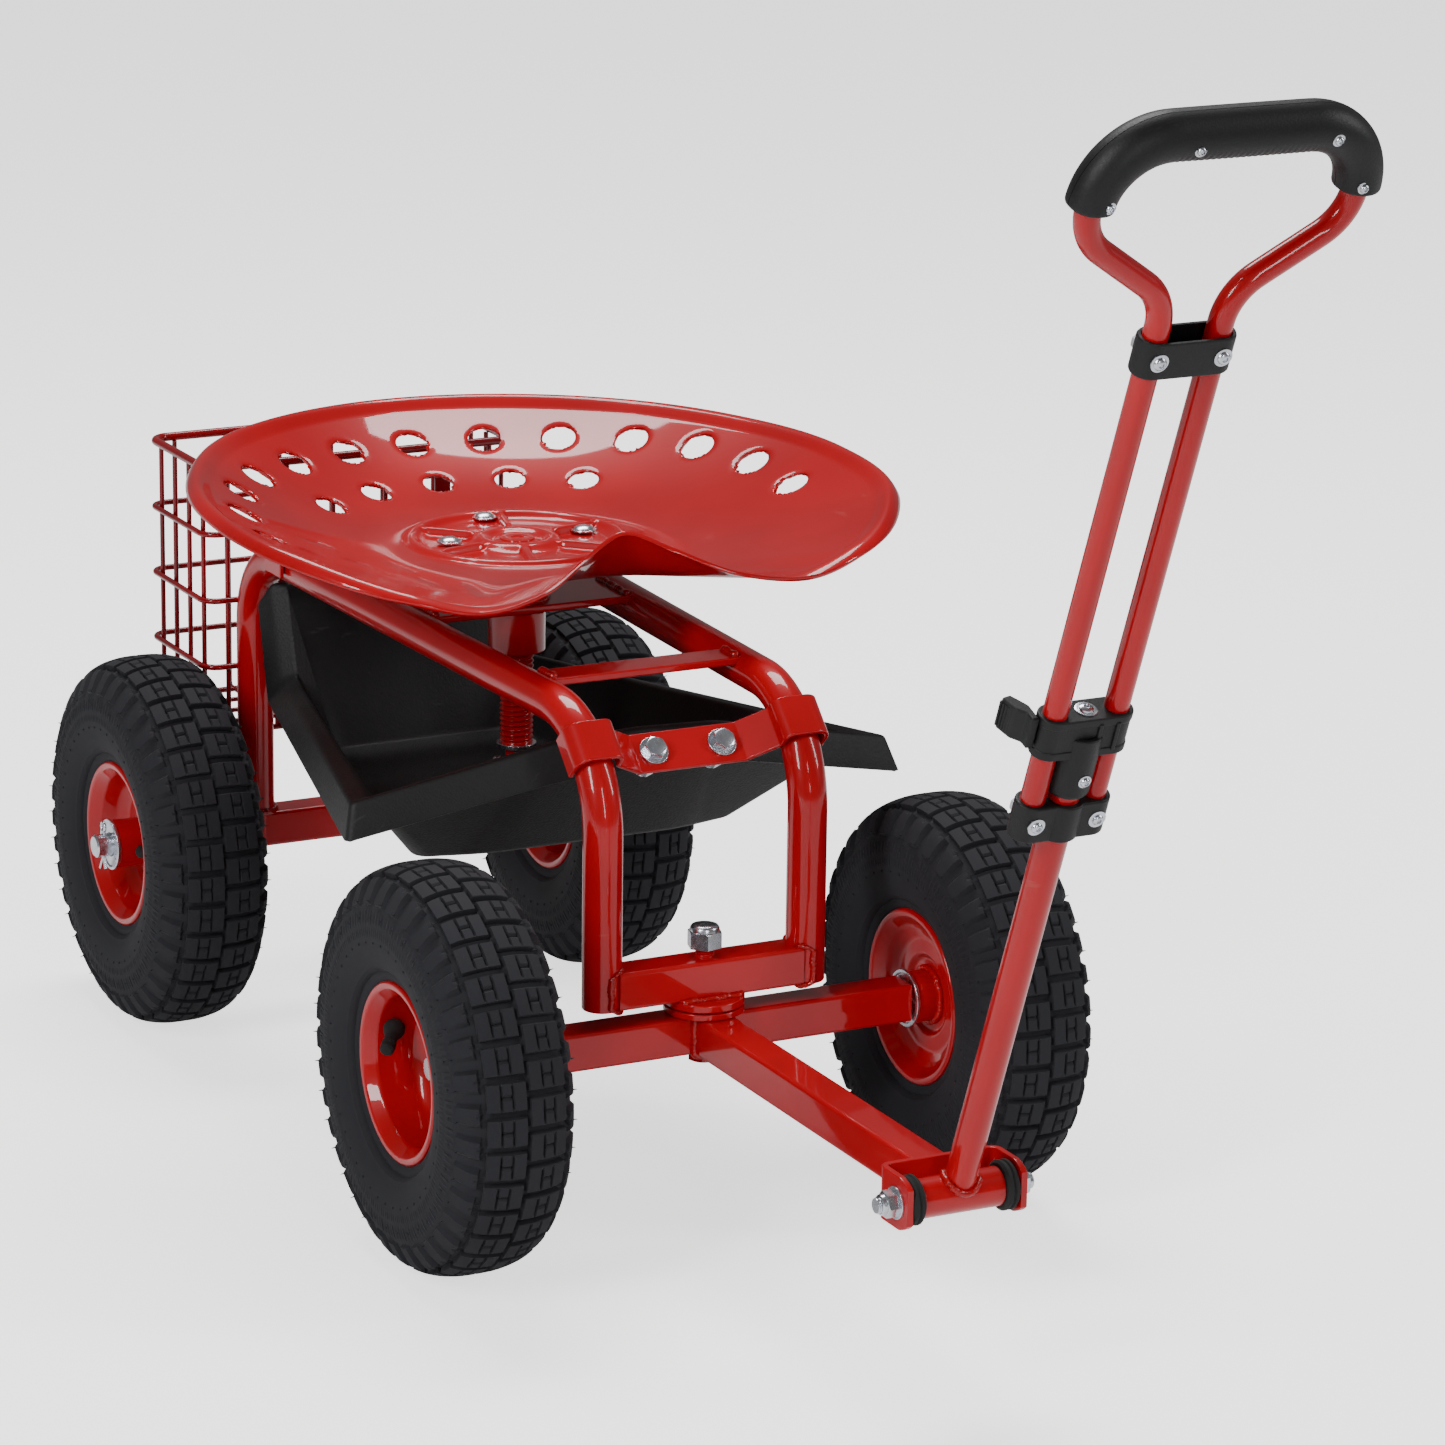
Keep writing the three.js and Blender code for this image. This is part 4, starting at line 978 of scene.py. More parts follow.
    def plate_welds(self, name: str, low: Array, high: Array) -> None:
        """Short beads where a cross plate meets the flanks of the rails."""
        beads = []
        for side in SIDES.values():
            rows = []
            for y in (low[1] + 1.5, high[1] - 1.5):
                rows.append([side * (self.rail_x(y) - self.radius + 2.2), y, high[2] + 0.4])
            beads.append(weld(np.array(rows), Z_AXIS, 2.5))
            under = np.array(rows) - [side * 1.8, 0, high[2] - low[2] + 0.6]
            beads.append(weld(under, Z_AXIS, 2.0))
        Piece(name, "chassis", Finish.WELD, sharp=60).make(beads)

    def mid_plate(self) -> None:
        """Narrow cross plate ahead of the seat."""
        low, high = self.plate("mid_cross_plate", "mid_crossbar", 1.2)
        self.plate_welds("mid_plate_welds", low, high)

    def seat_plate(self) -> None:
        """Wide plate with the long threaded nut welded through it."""
        low, high = self.plate("seat_cross_plate", "seat_plate", 1.2)
        self.plate_welds("seat_plate_welds", low, high)
        nut_low, nut_high = box_mm("seat_nut")
        centre = (nut_low + nut_high) / 2.0
        outer = (nut_high[0] - nut_low[0]) / 2.0
        height = nut_high[2] - nut_low[2]
        corners = [[0, 11.9], [0, outer], [height, outer], [height, 11.9]]
        at = np.array([0.0, centre[1], nut_low[2]])
        Piece("long_seat_nut", "chassis", Finish.RED, ["seat_nut"]).make(
            [lathed(rounded(corners, 1.0, closed=True, step=20), at, Z_AXIS, 80, closed=True)])
        angle = np.linspace(0, TAU, 90, endpoint=False)
        bead = outer + 0.7
        ring = np.stack([bead * np.cos(angle), centre[1] + bead * np.sin(angle), 0 * angle], -1)
        beads = [weld(ring + [0, 0, high[2] + 0.5], Z_AXIS, 2.3, closed=True),
                 weld(ring + [0, 0, low[2] - 0.5], Z_AXIS, 2.0, closed=True)]
        Piece("seat_nut_welds", "chassis", Finish.WELD, sharp=60).make(beads)

    def strap(self, end: str, y: float, tilt: float, dip: float) -> None:
        """Bent strap hooked over both rails, with its hex bolts, washers and nuts."""
        rail = box_mm("left_side_tube")[1][2] - self.radius
        z = rail - (y if tilt else 0.0)
        half = self.rail_x(y)
        over = self.radius + 2.4
        bend_at = half - over - 20.0
        right = [[bend_at, 0, dip], [half - over, 0, 3], [half - over, 0, over], [half + over, 0, over],
                 [half + over, 0, -4]]
        corners = [[-x, y_in, z_in] for x, y_in, z_in in right[::-1]] + right
        radii = [0, over - 0.4, over - 0.4, 3, 4, 4, 3, over - 0.4, over - 0.4, 0]
        turned = np.array([[1, 0, 0], [0, np.cos(tilt), -np.sin(tilt)], [0, np.sin(tilt), np.cos(tilt)]])
        origin = np.array([0.0, y, z])
        strap = carried(rounded(corners, radii, step=6.0), bar_section(3.0, 28.0, 0.9), Y_AXIS)
        Piece(f"{end}_saddle_strap", "chassis", Finish.RED, [f"{end}_tray_strap"], 40).make(
            [strap.moved(turned, origin)])
        for name, side in SIDES.items():
            at = np.array([side * 24.0, 0.0, dip + 1.6])
            sheets = [washer(at, Z_AXIS, 1.4, 9.6, 4.1),
                      hexagon(at + [0, 0, 1.4], Z_AXIS, 13.0, 5.2, 0.3 * side),
                      thread(at - [0, 0, 26.0], Z_AXIS, 24.0, 4.0, 1.25),
                      hexagon(at - [0, 0, 14.8], -Z_AXIS, 13.0, 5.4, 0.7)]
            Piece(f"{end}_{name}_saddle_bolt", "chassis", Finish.ZINC, [f"{end}_{name}_tray_bolt"]).make(
                [s.moved(turned, origin) for s in sheets])


def thread(origin: Array, axis: Array, length: float, radius: float, pitch: float, turns_per_row: int = 12,
           depth: float = 0.6) -> Sheet:
    """Screw thread: the radius dips by a rounded triangle wave of height / pitch + angle / full turn.

    Args:
        origin: Middle of the lower end, in millimetres.
        axis: Direction of the screw.
        length: Its length.
        radius: Crest radius.
        pitch: Rise of one turn.
        turns_per_row: Rows of points in each turn.
        depth: Thread depth as a share of the pitch.

    Returns:
        A closed surface.
    """
    first, second = across(axis)
    columns = 32
    rows = int(length / pitch * turns_per_row)
    angle = np.arange(columns) / columns * TAU
    along = np.linspace(0.0, length, rows)
    wave = 0.5 + 0.5 * np.cos(TAU * along[:, None] / pitch - angle[None])
    taper = np.clip(np.minimum(along, along[::-1]) / pitch, 0.0, 1.0)[:, None]
    radii = radius - depth * pitch * (1.0 - wave**0.7) * taper - (1.0 - taper) * 0.5
    spokes = np.cos(angle)[:, None] * first + np.sin(angle)[:, None] * second
    rise = along[:, None, None] * unit(np.asarray(axis, float))
    grid = np.asarray(origin) + rise + radii[..., None] * spokes
    return Sheet(grid, capped=True)


def axle_beam(end: str, body: str, y: float, replaces: Sequence[str]) -> None:
    """Square tube of an axle up to its shoulders, with a weld ring where the rod leaves each end."""
    low, high = box_mm(f"{end}_axle_beam")
    z = (low[2] + high[2]) / 2.0
    size = high[2] - low[2]
    inner = box_mm(f"{end}_left_inner_washer")[1][0]
    reach = -inner - 0.6
    path = np.array([[-reach, y, z], [reach, y, z]])
    beam = carried(path, bar_section(size, size, 2.6), Z_AXIS)
    Piece(f"{end}_axle_tube", body, Finish.RED, replaces).make([beam])
    angle = np.linspace(0, TAU, 60, endpoint=False)
    rings = []
    for side in SIDES.values():
        end_x = np.full(60, side * (reach + 0.1))
        loop = np.stack([end_x, y + 9.4 * np.cos(angle), z + 9.4 * np.sin(angle)], -1)
        rings.append(weld(loop, X_AXIS, 0.9, closed=True))
    Piece(f"{end}_axle_welds", body, Finish.WELD, sharp=60).make(rings)


# ------------------------------------------------------------------ steering and drawbar


@dataclass
class Steering:
    """Front axle, turntable, king pin, drawbar and the clevis that holds the handle."""

    body: str = "front_axle"
    corner: float = 2.6

    def build(self) -> None:
        """Makes the pieces that steer."""
        axle_beam("front", self.body, 0.0, ["front_axle_beam"])
        low, high = box_mm("lower_steering_disc")
        corners = [[0, 6.4], [0, 26], [high[2] - low[2], 26], [high[2] - low[2], 6.4]]
        profile = rounded(corners, 0.9, closed=True, step=20)
        disc = lathed(profile, np.array([0, 0, low[2]]), Z_AXIS, 80, closed=True)
        Piece("lower_turntable_disc", self.body, Finish.RED, ["lower_steering_disc"]).make([disc])
        self.drawbar()
        self.king_pin()
        self.clevis()

    def drawbar(self) -> None:
        """Square drawbar from the axle forward, with its welds at both ends."""
        low, high = box_mm("drawbar")
        z, size = (low[2] + high[2]) / 2.0, high[2] - low[2]
        path = np.array([[0, high[1] + 1.0, z], [0, low[1] - 1.0, z]])
        Piece("drawbar_tube", self.body, Finish.RED, ["drawbar"]).make(
            [carried(path, bar_section(size, size, self.corner), Z_AXIS)])
        beads = []
        for y in (high[1] - 0.2, low[1] + 0.2):
            ring = bar_section(size + 0.8, size + 0.8, 3.0)
            loop = np.stack([ring[:, 0], np.full(len(ring), y), z + ring[:, 1]], -1)
            beads.append(weld(loop, Y_AXIS, 2.3, closed=True))
        Piece("drawbar_welds", self.body, Finish.WELD, sharp=60).make(beads)

    def king_pin(self) -> None:
        """Painted king bolt with its head below the axle, and a plated lock nut with a domed end."""
        low, high = box_mm("king_pin_bolt")
        shank = thread(np.array([0, 0, high[2] - 26.0]), Z_AXIS, 22.0, 6.0, 1.5)
        head = hexagon(np.array([0, 0, low[2] + 8.0]), -Z_AXIS, 18.0, 7.6)
        core = pin(np.array([0, 0, low[2] + 4]), Z_AXIS, high[2] - low[2] - 26.0, 5.9, 0.4)
        Piece("king_bolt", self.body, Finish.RED, ["king_pin_bolt"]).make([shank, core, head])
        low, high = box_mm("king_pin_nut")
        at = np.array([0, 0, low[2]])
        dome = [[10.4, 9.7], [13.0, 9.4], [14.3, 8.4], [15.0, 6.0], [15.2, 0]]
        Piece("king_lock_nut", self.body, Finish.ZINC, ["king_pin_nut"]).make(
            [hexagon(at, Z_AXIS, 20.0, 10.6, 0.25), lathed(dome, at, Z_AXIS, 48)])

    def clevis(self) -> None:
        """Bent clevis plate: a web across the drawbar's end and two ears with cut corners."""
        low, high = box_mm("drawbar_clevis")
        plate, bend = 4.0, 5.0
        z, half = (low[2] + high[2]) / 2.0, (high[0] - low[0]) / 2.0 - plate / 2.0
        back = high[1] - plate / 2.0
        height = high[2] - low[2]
        path = rounded([[-half, low[1] + 0.6, z], [-half, back, z], [half, back, z], [half, low[1] + 0.6, z]],
                       [0, bend, bend, 0], step=9.0)
        path = spaced(path, 2.0)
        to_tip = np.minimum(path[:, 1] - low[1], 12.0)
        cut = np.where(np.abs(path[:, 0]) > half - 1.0, np.clip(to_tip / 11.0, 0.0, 1.0), 1.0)
        section = bar_section(plate, height, 0.8)
        grid = carried(path, section, Z_AXIS).points
        share = 0.56 + 0.44 * np.sqrt(cut)
        grid[..., 2] = z + (grid[..., 2] - z) * share[:, None]
        Piece("handle_clevis", self.body, Finish.RED, ["drawbar_clevis"], 30).make([Sheet(grid, capped=True)])
        pivot = middle_mm("left_friction_ring")
        bolt_low = box_mm("handle_pivot_bolt")[0]
        y, zp = pivot[1], pivot[2]
        head_at = np.array([high[0], y, zp])
        bolt = [hexagon(head_at, X_AXIS, 15.0, 5.8),
                pin(np.array([bolt_low[0] + 14, y, zp]), X_AXIS, 90.0, 4.9),
                thread(np.array([bolt_low[0], y, zp]), X_AXIS, 16.0, 5.0, 1.25)]
        Piece("handle_bolt", self.body, Finish.ZINC, ["handle_pivot_bolt"]).make(bolt)
        at = np.array([low[0], y, zp])
        nut = [washer(at, -X_AXIS, 1.6, 10.0, 5.2), hexagon(at - [1.6, 0, 0], -X_AXIS, 14.5, 7.0, 0.4),
               lathed([[8.6, 5.2], [8.6, 6.6], [11.0, 6.2], [11.6, 5.2]], at, -X_AXIS, 36)]
        Piece("handle_lock_nut", self.body, Finish.ZINC, ["handle_pivot_nut"]).make(nut)


# ------------------------------------------------------------------ seat


@dataclass
class Seat:
    """Pressed steel pan seat on a screw: rolled rim, two rows of holes, embossed ring and ribs."""

    body: str = "seat"
    sheet: float = 2.6
    floor_radius: float = 84.0
    centre_y: float = 268.0
    post_y: float = 285.0
    floor_z: float = 386.0
    columns: int = 640
    rows: int = 150
    rim: Array = field(default_factory=lambda: np.array([
        [0, 238, 441], [35, 232, 441], [65, 225, 441], [92, 235, 437], [117, 247, 427], [136, 238, 409],
        [148, 216, 397], [158, 187, 402], [168, 159, 417], [180, 147, 430]], float))
    upper_holes: tuple[int, float, float, float] = (13, 15.67, 190.0, 11.5)
    lower_holes: tuple[int, float, float, float] = (5, 20.0, 146.0, 10.5)
    bolts: tuple[tuple[float, float], ...] = ((6.0, 66.0), (-44.0, 12.0), (52.0, 6.0))

    def build(self) -> None:
        """Makes the pan, its fixings, the swivel disc, the screw and its stops."""
        Piece("pressed_seat_pan", self.body, Finish.RED, ["seat_pan"], 60).make([self.pan()], self.sheet)
        self.fixings()
        low, high = box_mm("swivel_disc")
        at = np.array([0, self.post_y, low[2]])
        reach, height = (high[0] - low[0]) / 2.0, high[2] - low[2]
        corners = [[0, 0], [0, reach - 4], [height, reach], [height, 0]]
        disc = lathed(rounded(corners, [0, 1.2, 1.2, 0], step=15), at, Z_AXIS, 96)
        Piece("swivel_plate", self.body, Finish.RED, ["swivel_disc"]).make([disc])
        self.screw()

    def edge(self, turn: Array) -> tuple[Array, Array]:
        """Radius and height of the rim at each turn from the rear, in degrees, the same on both sides."""
        ahead = 360.0 - self.rim[-2::-1, 0]
        keys = np.concatenate([ahead[:-1] - 360.0, self.rim[:, 0], ahead, [360.0 + self.rim[1, 0]]])
        rows = np.concatenate([self.rim[-2:0:-1], self.rim, self.rim[-2::-1], self.rim[1:2]])[:, 1:]
        values = smooth_table(turn, keys, rows)
        return values[:, 0], values[:, 1]

    def pan(self) -> Sheet:
        """Upper face of the pan.

        Height = floor + (rim - floor) * (1.35 t^2 - 0.35 t^3) with t from the flat floor to the rim, and
        the last stretch rolls over and down, less so at the front.  Rings and ribs are added to the
        floor, and points inside a hole move out to its circle while the faces within it are left out.
        """
        turn = np.arange(self.columns) / self.columns * 360.0
        radius, top = self.edge(turn)
        share = np.linspace(0.0, 1.0, self.rows)[:, None]
        r = share * radius
        t = np.clip((r - self.floor_radius) / (radius - self.floor_radius), 0.0, 1.0)
        front = np.clip((np.abs((turn + 180.0) % 360.0 - 180.0) - 112.0) / 45.0, 0.0, 1.0)
        roll = 1.0 - front * front * (3.0 - 2.0 * front)
        lip = np.clip((r - (radius - 17.0)) / 17.0, 0.0, 1.0)
        z = self.floor_z + (top - self.floor_z) * t * t * (1.35 - 0.35 * t)
        z = z + roll * (4.5 * np.sin(lip * np.pi / 2.0) - 13.0 * np.maximum(lip - 0.35, 0.0) ** 2 / 0.4225)
        z = z - (1.0 - roll) * 2.0 * lip**3
        angle = np.radians(turn)
        x, y = r * np.sin(angle), self.centre_y + r * np.cos(angle)
        z = z + self.emboss(x, y - self.post_y)
        keep = np.ones((self.rows - 1, self.columns), bool)
        for count, step, row, size in (self.upper_holes, self.lower_holes):
            for i in range(count):
                at = np.radians((i - (count - 1) / 2.0) * step)
                cx, cy = row * np.sin(at), self.centre_y + row * np.cos(at)
                x, y, z, inside = self.pierced(x, y, z, cx, cy, size)
                corner = np.hstack([inside, inside[:, :1]])
                keep &= ~(corner[:-1, :-1] & corner[1:, :-1] & corner[1:, 1:] & corner[:-1, 1:])
        return Sheet(np.stack([x, y, z], -1), keep=keep)

    @staticmethod
    def pierced(x: Array, y: Array, z: Array, cx: float, cy: float,
                size: float) -> tuple[Array, Array, Array, Array]:
        """Moves points inside a circle out to it and presses the edge down a little."""
        away = np.hypot(x - cx, y - cy)
        inside = away < size
        scale = np.where(inside, size / np.maximum(away, 1e-6), 1.0)
        near = np.exp(-((np.maximum(away, size) - size) / 1.7) ** 2) * (away < size + 8.0)
        return cx + (x - cx) * scale, cy + (y - cy) * scale, z - 1.0 * near, inside

    def emboss(self, x: Array, y: Array) -> Array:
        """Raised ring, inner boss and cross ribs round the post, each a smooth ridge of its distance."""

        def ridge(d: Array, width: float) -> Array:
            """1 on a line and 0 away from it, flat on top."""
            return np.exp(-((d / width) ** 4))

        away = np.hypot(x, y)
        ring = 3.2 * ridge(away - 71.0, 4.0)
        boss = 2.8 * ridge(away - 24.0, 5.0) + 0.8 * ridge(away, 15.0)
        between = np.clip((away - 27.0) / 6.0, 0.0, 1.0) * np.clip((70.0 - away) / 6.0, 0.0, 1.0)
        ribs = 0.0
        for degrees in (15.0, 75.0, 135.0):
            at = np.radians(degrees)
            ribs = np.maximum(ribs, ridge(x * np.sin(at) - y * np.cos(at), 3.2))
        pans = -2.0 * np.clip((66.0 - away) / 4.0, 0.0, 1.0) * np.clip((away - 30.0) / 4.0, 0.0, 1.0)
        return ring + boss + pans * (1.0 - ribs) + 2.8 * ribs * between

    def fixings(self) -> None:
        """Carriage bolts through the pan and the centre rivet."""
        heads = []
        for x, y in self.bolts:
            at = np.array([x, self.post_y + y, self.floor_z - 0.6])
            heads += [washer(at, Z_AXIS, 1.3, 8.6, 3.0),
                      lathed([[1.0, 6.9], [1.8, 6.8], [3.0, 5.4], [3.8, 3.0], [4.1, 0]], at, Z_AXIS, 40)]
        Piece("seat_bolt_heads", self.body, Finish.ZINC).make(heads)
        centre = np.array([0, self.post_y, self.floor_z + 0.2])
        profile = [[0, 12], [1.2, 11.6], [1.8, 9.0], [1.2, 6.0], [1.4, 4.4], [0.2, 3.6], [0.2, 0]]
        Piece("seat_centre_boss", self.body, Finish.RED, sharp=50).make([lathed(profile, centre, Z_AXIS, 48)])

    def screw(self) -> None:
        """Painted lifting screw with its turned tip, the stop washer and the split pin."""
        low, high = box_mm("seat_screw")
        post = np.array([0.0, self.post_y, 0.0])
        shoulder = box_mm("stop_washer")[1][2]
        Piece("lifting_screw", self.body, Finish.RED, ["seat_screw"], 30).make([
            thread(post + [0, 0, shoulder], Z_AXIS, high[2] - shoulder, 11.4, 3.5, 14, 0.5),
            pin(post + [0, 0, low[2]], Z_AXIS, shoulder - low[2] + 2.0, 7.4, 0.8)])
        low, high = box_mm("stop_washer")
        Piece("lift_stop_washer", "lift_washer", Finish.ZINC, ["stop_washer"]).make(
            [washer(post + [0, 0, low[2]], Z_AXIS, high[2] - low[2], 13.5, 7.8)])
        z = box_mm("seat_screw")[0][2] + 6.0
        sheets = split_pin(np.zeros(3), 7.5)
        turned = np.array([[0, 0, -1.0], [0, 1.0, 0], [1.0, 0, 0]])
        Piece("screw_split_pin", self.body, Finish.ZINC, ["screw_cotter_pin"]).make(
            [s.moved(turned, post + [0, 0, z]) for s in sheets])


# ------------------------------------------------------------------ tool tray and basket


@dataclass
class Tray:
    """Moulded tool tray: turned-down skirt, flat rim, sloping walls and a small floor."""

    wall: float = 3.0
    middle_y: float = 290.0
    lines: tuple[tuple[tuple[float, float, float], ...], ...] = (
        ((0, 84, 281), (60, 83, 279), (200, 109, 248), (101, 479, 236), (98, 504, 303), (0, 504, 303)),
        ((0, 93, 304), (58, 92, 302), (193, 118, 271), (93, 472, 251), (92, 497, 316), (0, 497, 316)),
        ((0, 101, 304), (55, 101, 302), (175, 131, 269), (85, 465, 256), (82, 489, 316), (0, 489, 316)),
        ((0, 180, 207), (70, 180, 207), (114, 192, 207), (70, 436, 207), (62, 444, 207), (0, 444, 207)),
        ((0, 232, 204), (40, 232, 204), (72, 240, 204), (46, 396, 204), (40, 404, 204), (0, 404, 204)))

    def outline(self, half: Sequence[Sequence[float]], bends: Array) -> Array:
        """Closed outline from its right half, each corner rounded and each side in the same steps."""
        right = np.asarray(half, float)
        left = right[-2:0:-1] * [-1.0, 1.0, 1.0]
        corners = np.vstack([right, left])
        count = len(corners)
        middles = (corners + np.roll(corners, -1, 0)) / 2.0
        t = np.linspace(0.0, 1.0, 9)[:, None, None]
        into, away = np.roll(middles, 1, 0), middles
        length_in = np.linalg.norm(corners - into, axis=1, keepdims=True)
        length_out = np.linalg.norm(away - corners, axis=1, keepdims=True)
        bend = np.concatenate([bends, bends[-2:0:-1]])[:, None]
        start = corners + (into - corners) * np.minimum(bend / length_in, 1.0)
        stop = corners + (away - corners) * np.minimum(bend / length_out, 1.0)
        arc = (1 - t) ** 2 * start + 2 * t * (1 - t) * corners + t**2 * stop
        straight = np.linspace(0.0, 1.0, 7)[1:-1, None, None]
        following = np.roll(start, -1, 0)
        run = stop + (following - stop) * straight
        return np.concatenate([arc, run]).transpose(1, 0, 2).reshape(-1, 3)

    def section(self, stack: Array, bend: float) -> Array:
        """Rounds each crease between two levels by a short parabola, keeping the walls straight."""
        before, here, after = stack[:-2], stack[1:-1], stack[2:]
        reach_in = np.linalg.norm(before - here, axis=-1, keepdims=True)
        reach_out = np.linalg.norm(after - here, axis=-1, keepdims=True)
        start = here + (before - here) * np.minimum(bend / reach_in, 0.45)
        stop = here + (after - here) * np.minimum(bend / reach_out, 0.45)
        t = np.linspace(0.0, 1.0, 6)[:, None, None, None]
        arcs = (1 - t) ** 2 * start + 2 * t * (1 - t) * here + t**2 * stop
        rows = arcs.transpose(1, 0, 2, 3).reshape(-1, *stack.shape[1:])
        return np.concatenate([stack[:1], rows, stack[-1:]])

    def build(self) -> None:
        """Makes the tray as one skin of levels, with its middle closed and its wall grown below."""
        corner = np.array([0.0, 1.0, 0.5, 0.5, 0.5, 0.0])
        bends = (13.0, 11.0, 9.0, 18.0, 14.0)
        stack = np.stack([self.outline(half, bend * corner) for half, bend in zip(self.lines, bends)])
        rows = self.section(stack, 3.2)
        centre = rows[-1].mean(0)
        floor = centre + (rows[-1] - centre) * np.array([0.66, 0.33, 0.0])[:, None, None]
        skin = Sheet(np.concatenate([rows, floor]))
        Piece("moulded_tool_tray", "chassis", Finish.TRAY, ["tool_tray"], 32).make([skin], self.wall)


@dataclass
class Basket:
    """Welded wire basket: hoops, uprights, a floor grid and two flat straps that hang it."""

    hoop: float = 2.1
    wire: float = 1.75
    corner: float = 12.0
    levels: tuple[float, ...] = (0.0, 0.25, 0.5, 0.75, 1.0)

    def hoop_path(self, low: Array, high: Array, z: float, inset: float) -> Array:
        """Closed rounded rectangle at one height."""
        x, y0, y1 = high[0] - inset, low[1] + inset, high[1] - inset
        return rounded([[-x, y0, z], [x, y0, z], [x, y1, z], [-x, y1, z]], self.corner, closed=True, step=9.0)

    def build(self) -> None:
        """Makes the hoops and the grid as two pieces, and the straps that fix it to the legs."""
        low, high = box_mm("wire_basket")
        span = high[2] - low[2]
        hoops = []
        for level in self.levels:
            top = level == self.levels[-1]
            radius = self.hoop + (1.0 if top else 0.0)
            z = low[2] + radius + level * (span - radius - 2.4)
            path = self.hoop_path(low, high, z, radius)
            hoops.append(carried(path, round_section(radius, 14), Z_AXIS, closed=True))
        Piece("basket_hoops", "chassis", Finish.WIRE, ["wire_basket"]).make(hoops)
        self.grid(low, high)
        self.hangers(low, high)

    def grid(self, low: Array, high: Array) -> None:
        """U-shaped wires down one wall, across the floor and up the other, in both directions."""
        inset = 2.0 * self.hoop + self.wire
        x, y0, y1 = high[0] - inset, low[1] + inset, high[1] - inset
        floor, top = low[2] + inset, high[2] - 5.0
        wires = []
        for at in np.linspace(-x + 14.0, x - 14.0, 6):
            path = rounded([[at, y0, top], [at, y0, floor], [at, y1, floor], [at, y1, top]], 4.0, step=15.0)
            wires.append(carried(path, round_section(self.wire, 12), X_AXIS))
        for at in np.linspace(y0 + 10.0, y1 - 10.0, 4):
            path = rounded([[-x, at, top], [-x, at, floor], [x, at, floor], [x, at, top]], 4.0, step=15.0)
            wires.append(carried(path, round_section(self.wire, 12), Y_AXIS))
        Piece("basket_grid", "chassis", Finish.WIRE).make(wires)

    def hangers(self, low: Array, high: Array) -> None:
        """Two flat bars down the front wall, and a cross bar welded to the rear legs."""
        bars = []
        y = low[1] + 0.6
        for side in SIDES.values():
            x = side * 62.0
            path = np.array([[x, y, low[2] + 4.0], [x, y, high[2] - 4.0]])
            bars.append(carried(path, bar_section(12.0, 2.4, 0.6), Y_AXIS))
        path = np.array([[-92.0, y - 2.0, 300.0], [92.0, y - 2.0, 300.0]])
        bars.append(carried(path, bar_section(16.0, 2.4, 0.6), Y_AXIS))
        Piece("basket_hanger_bars", "chassis", Finish.WIRE).make(bars)


# ------------------------------------------------------------------ handle


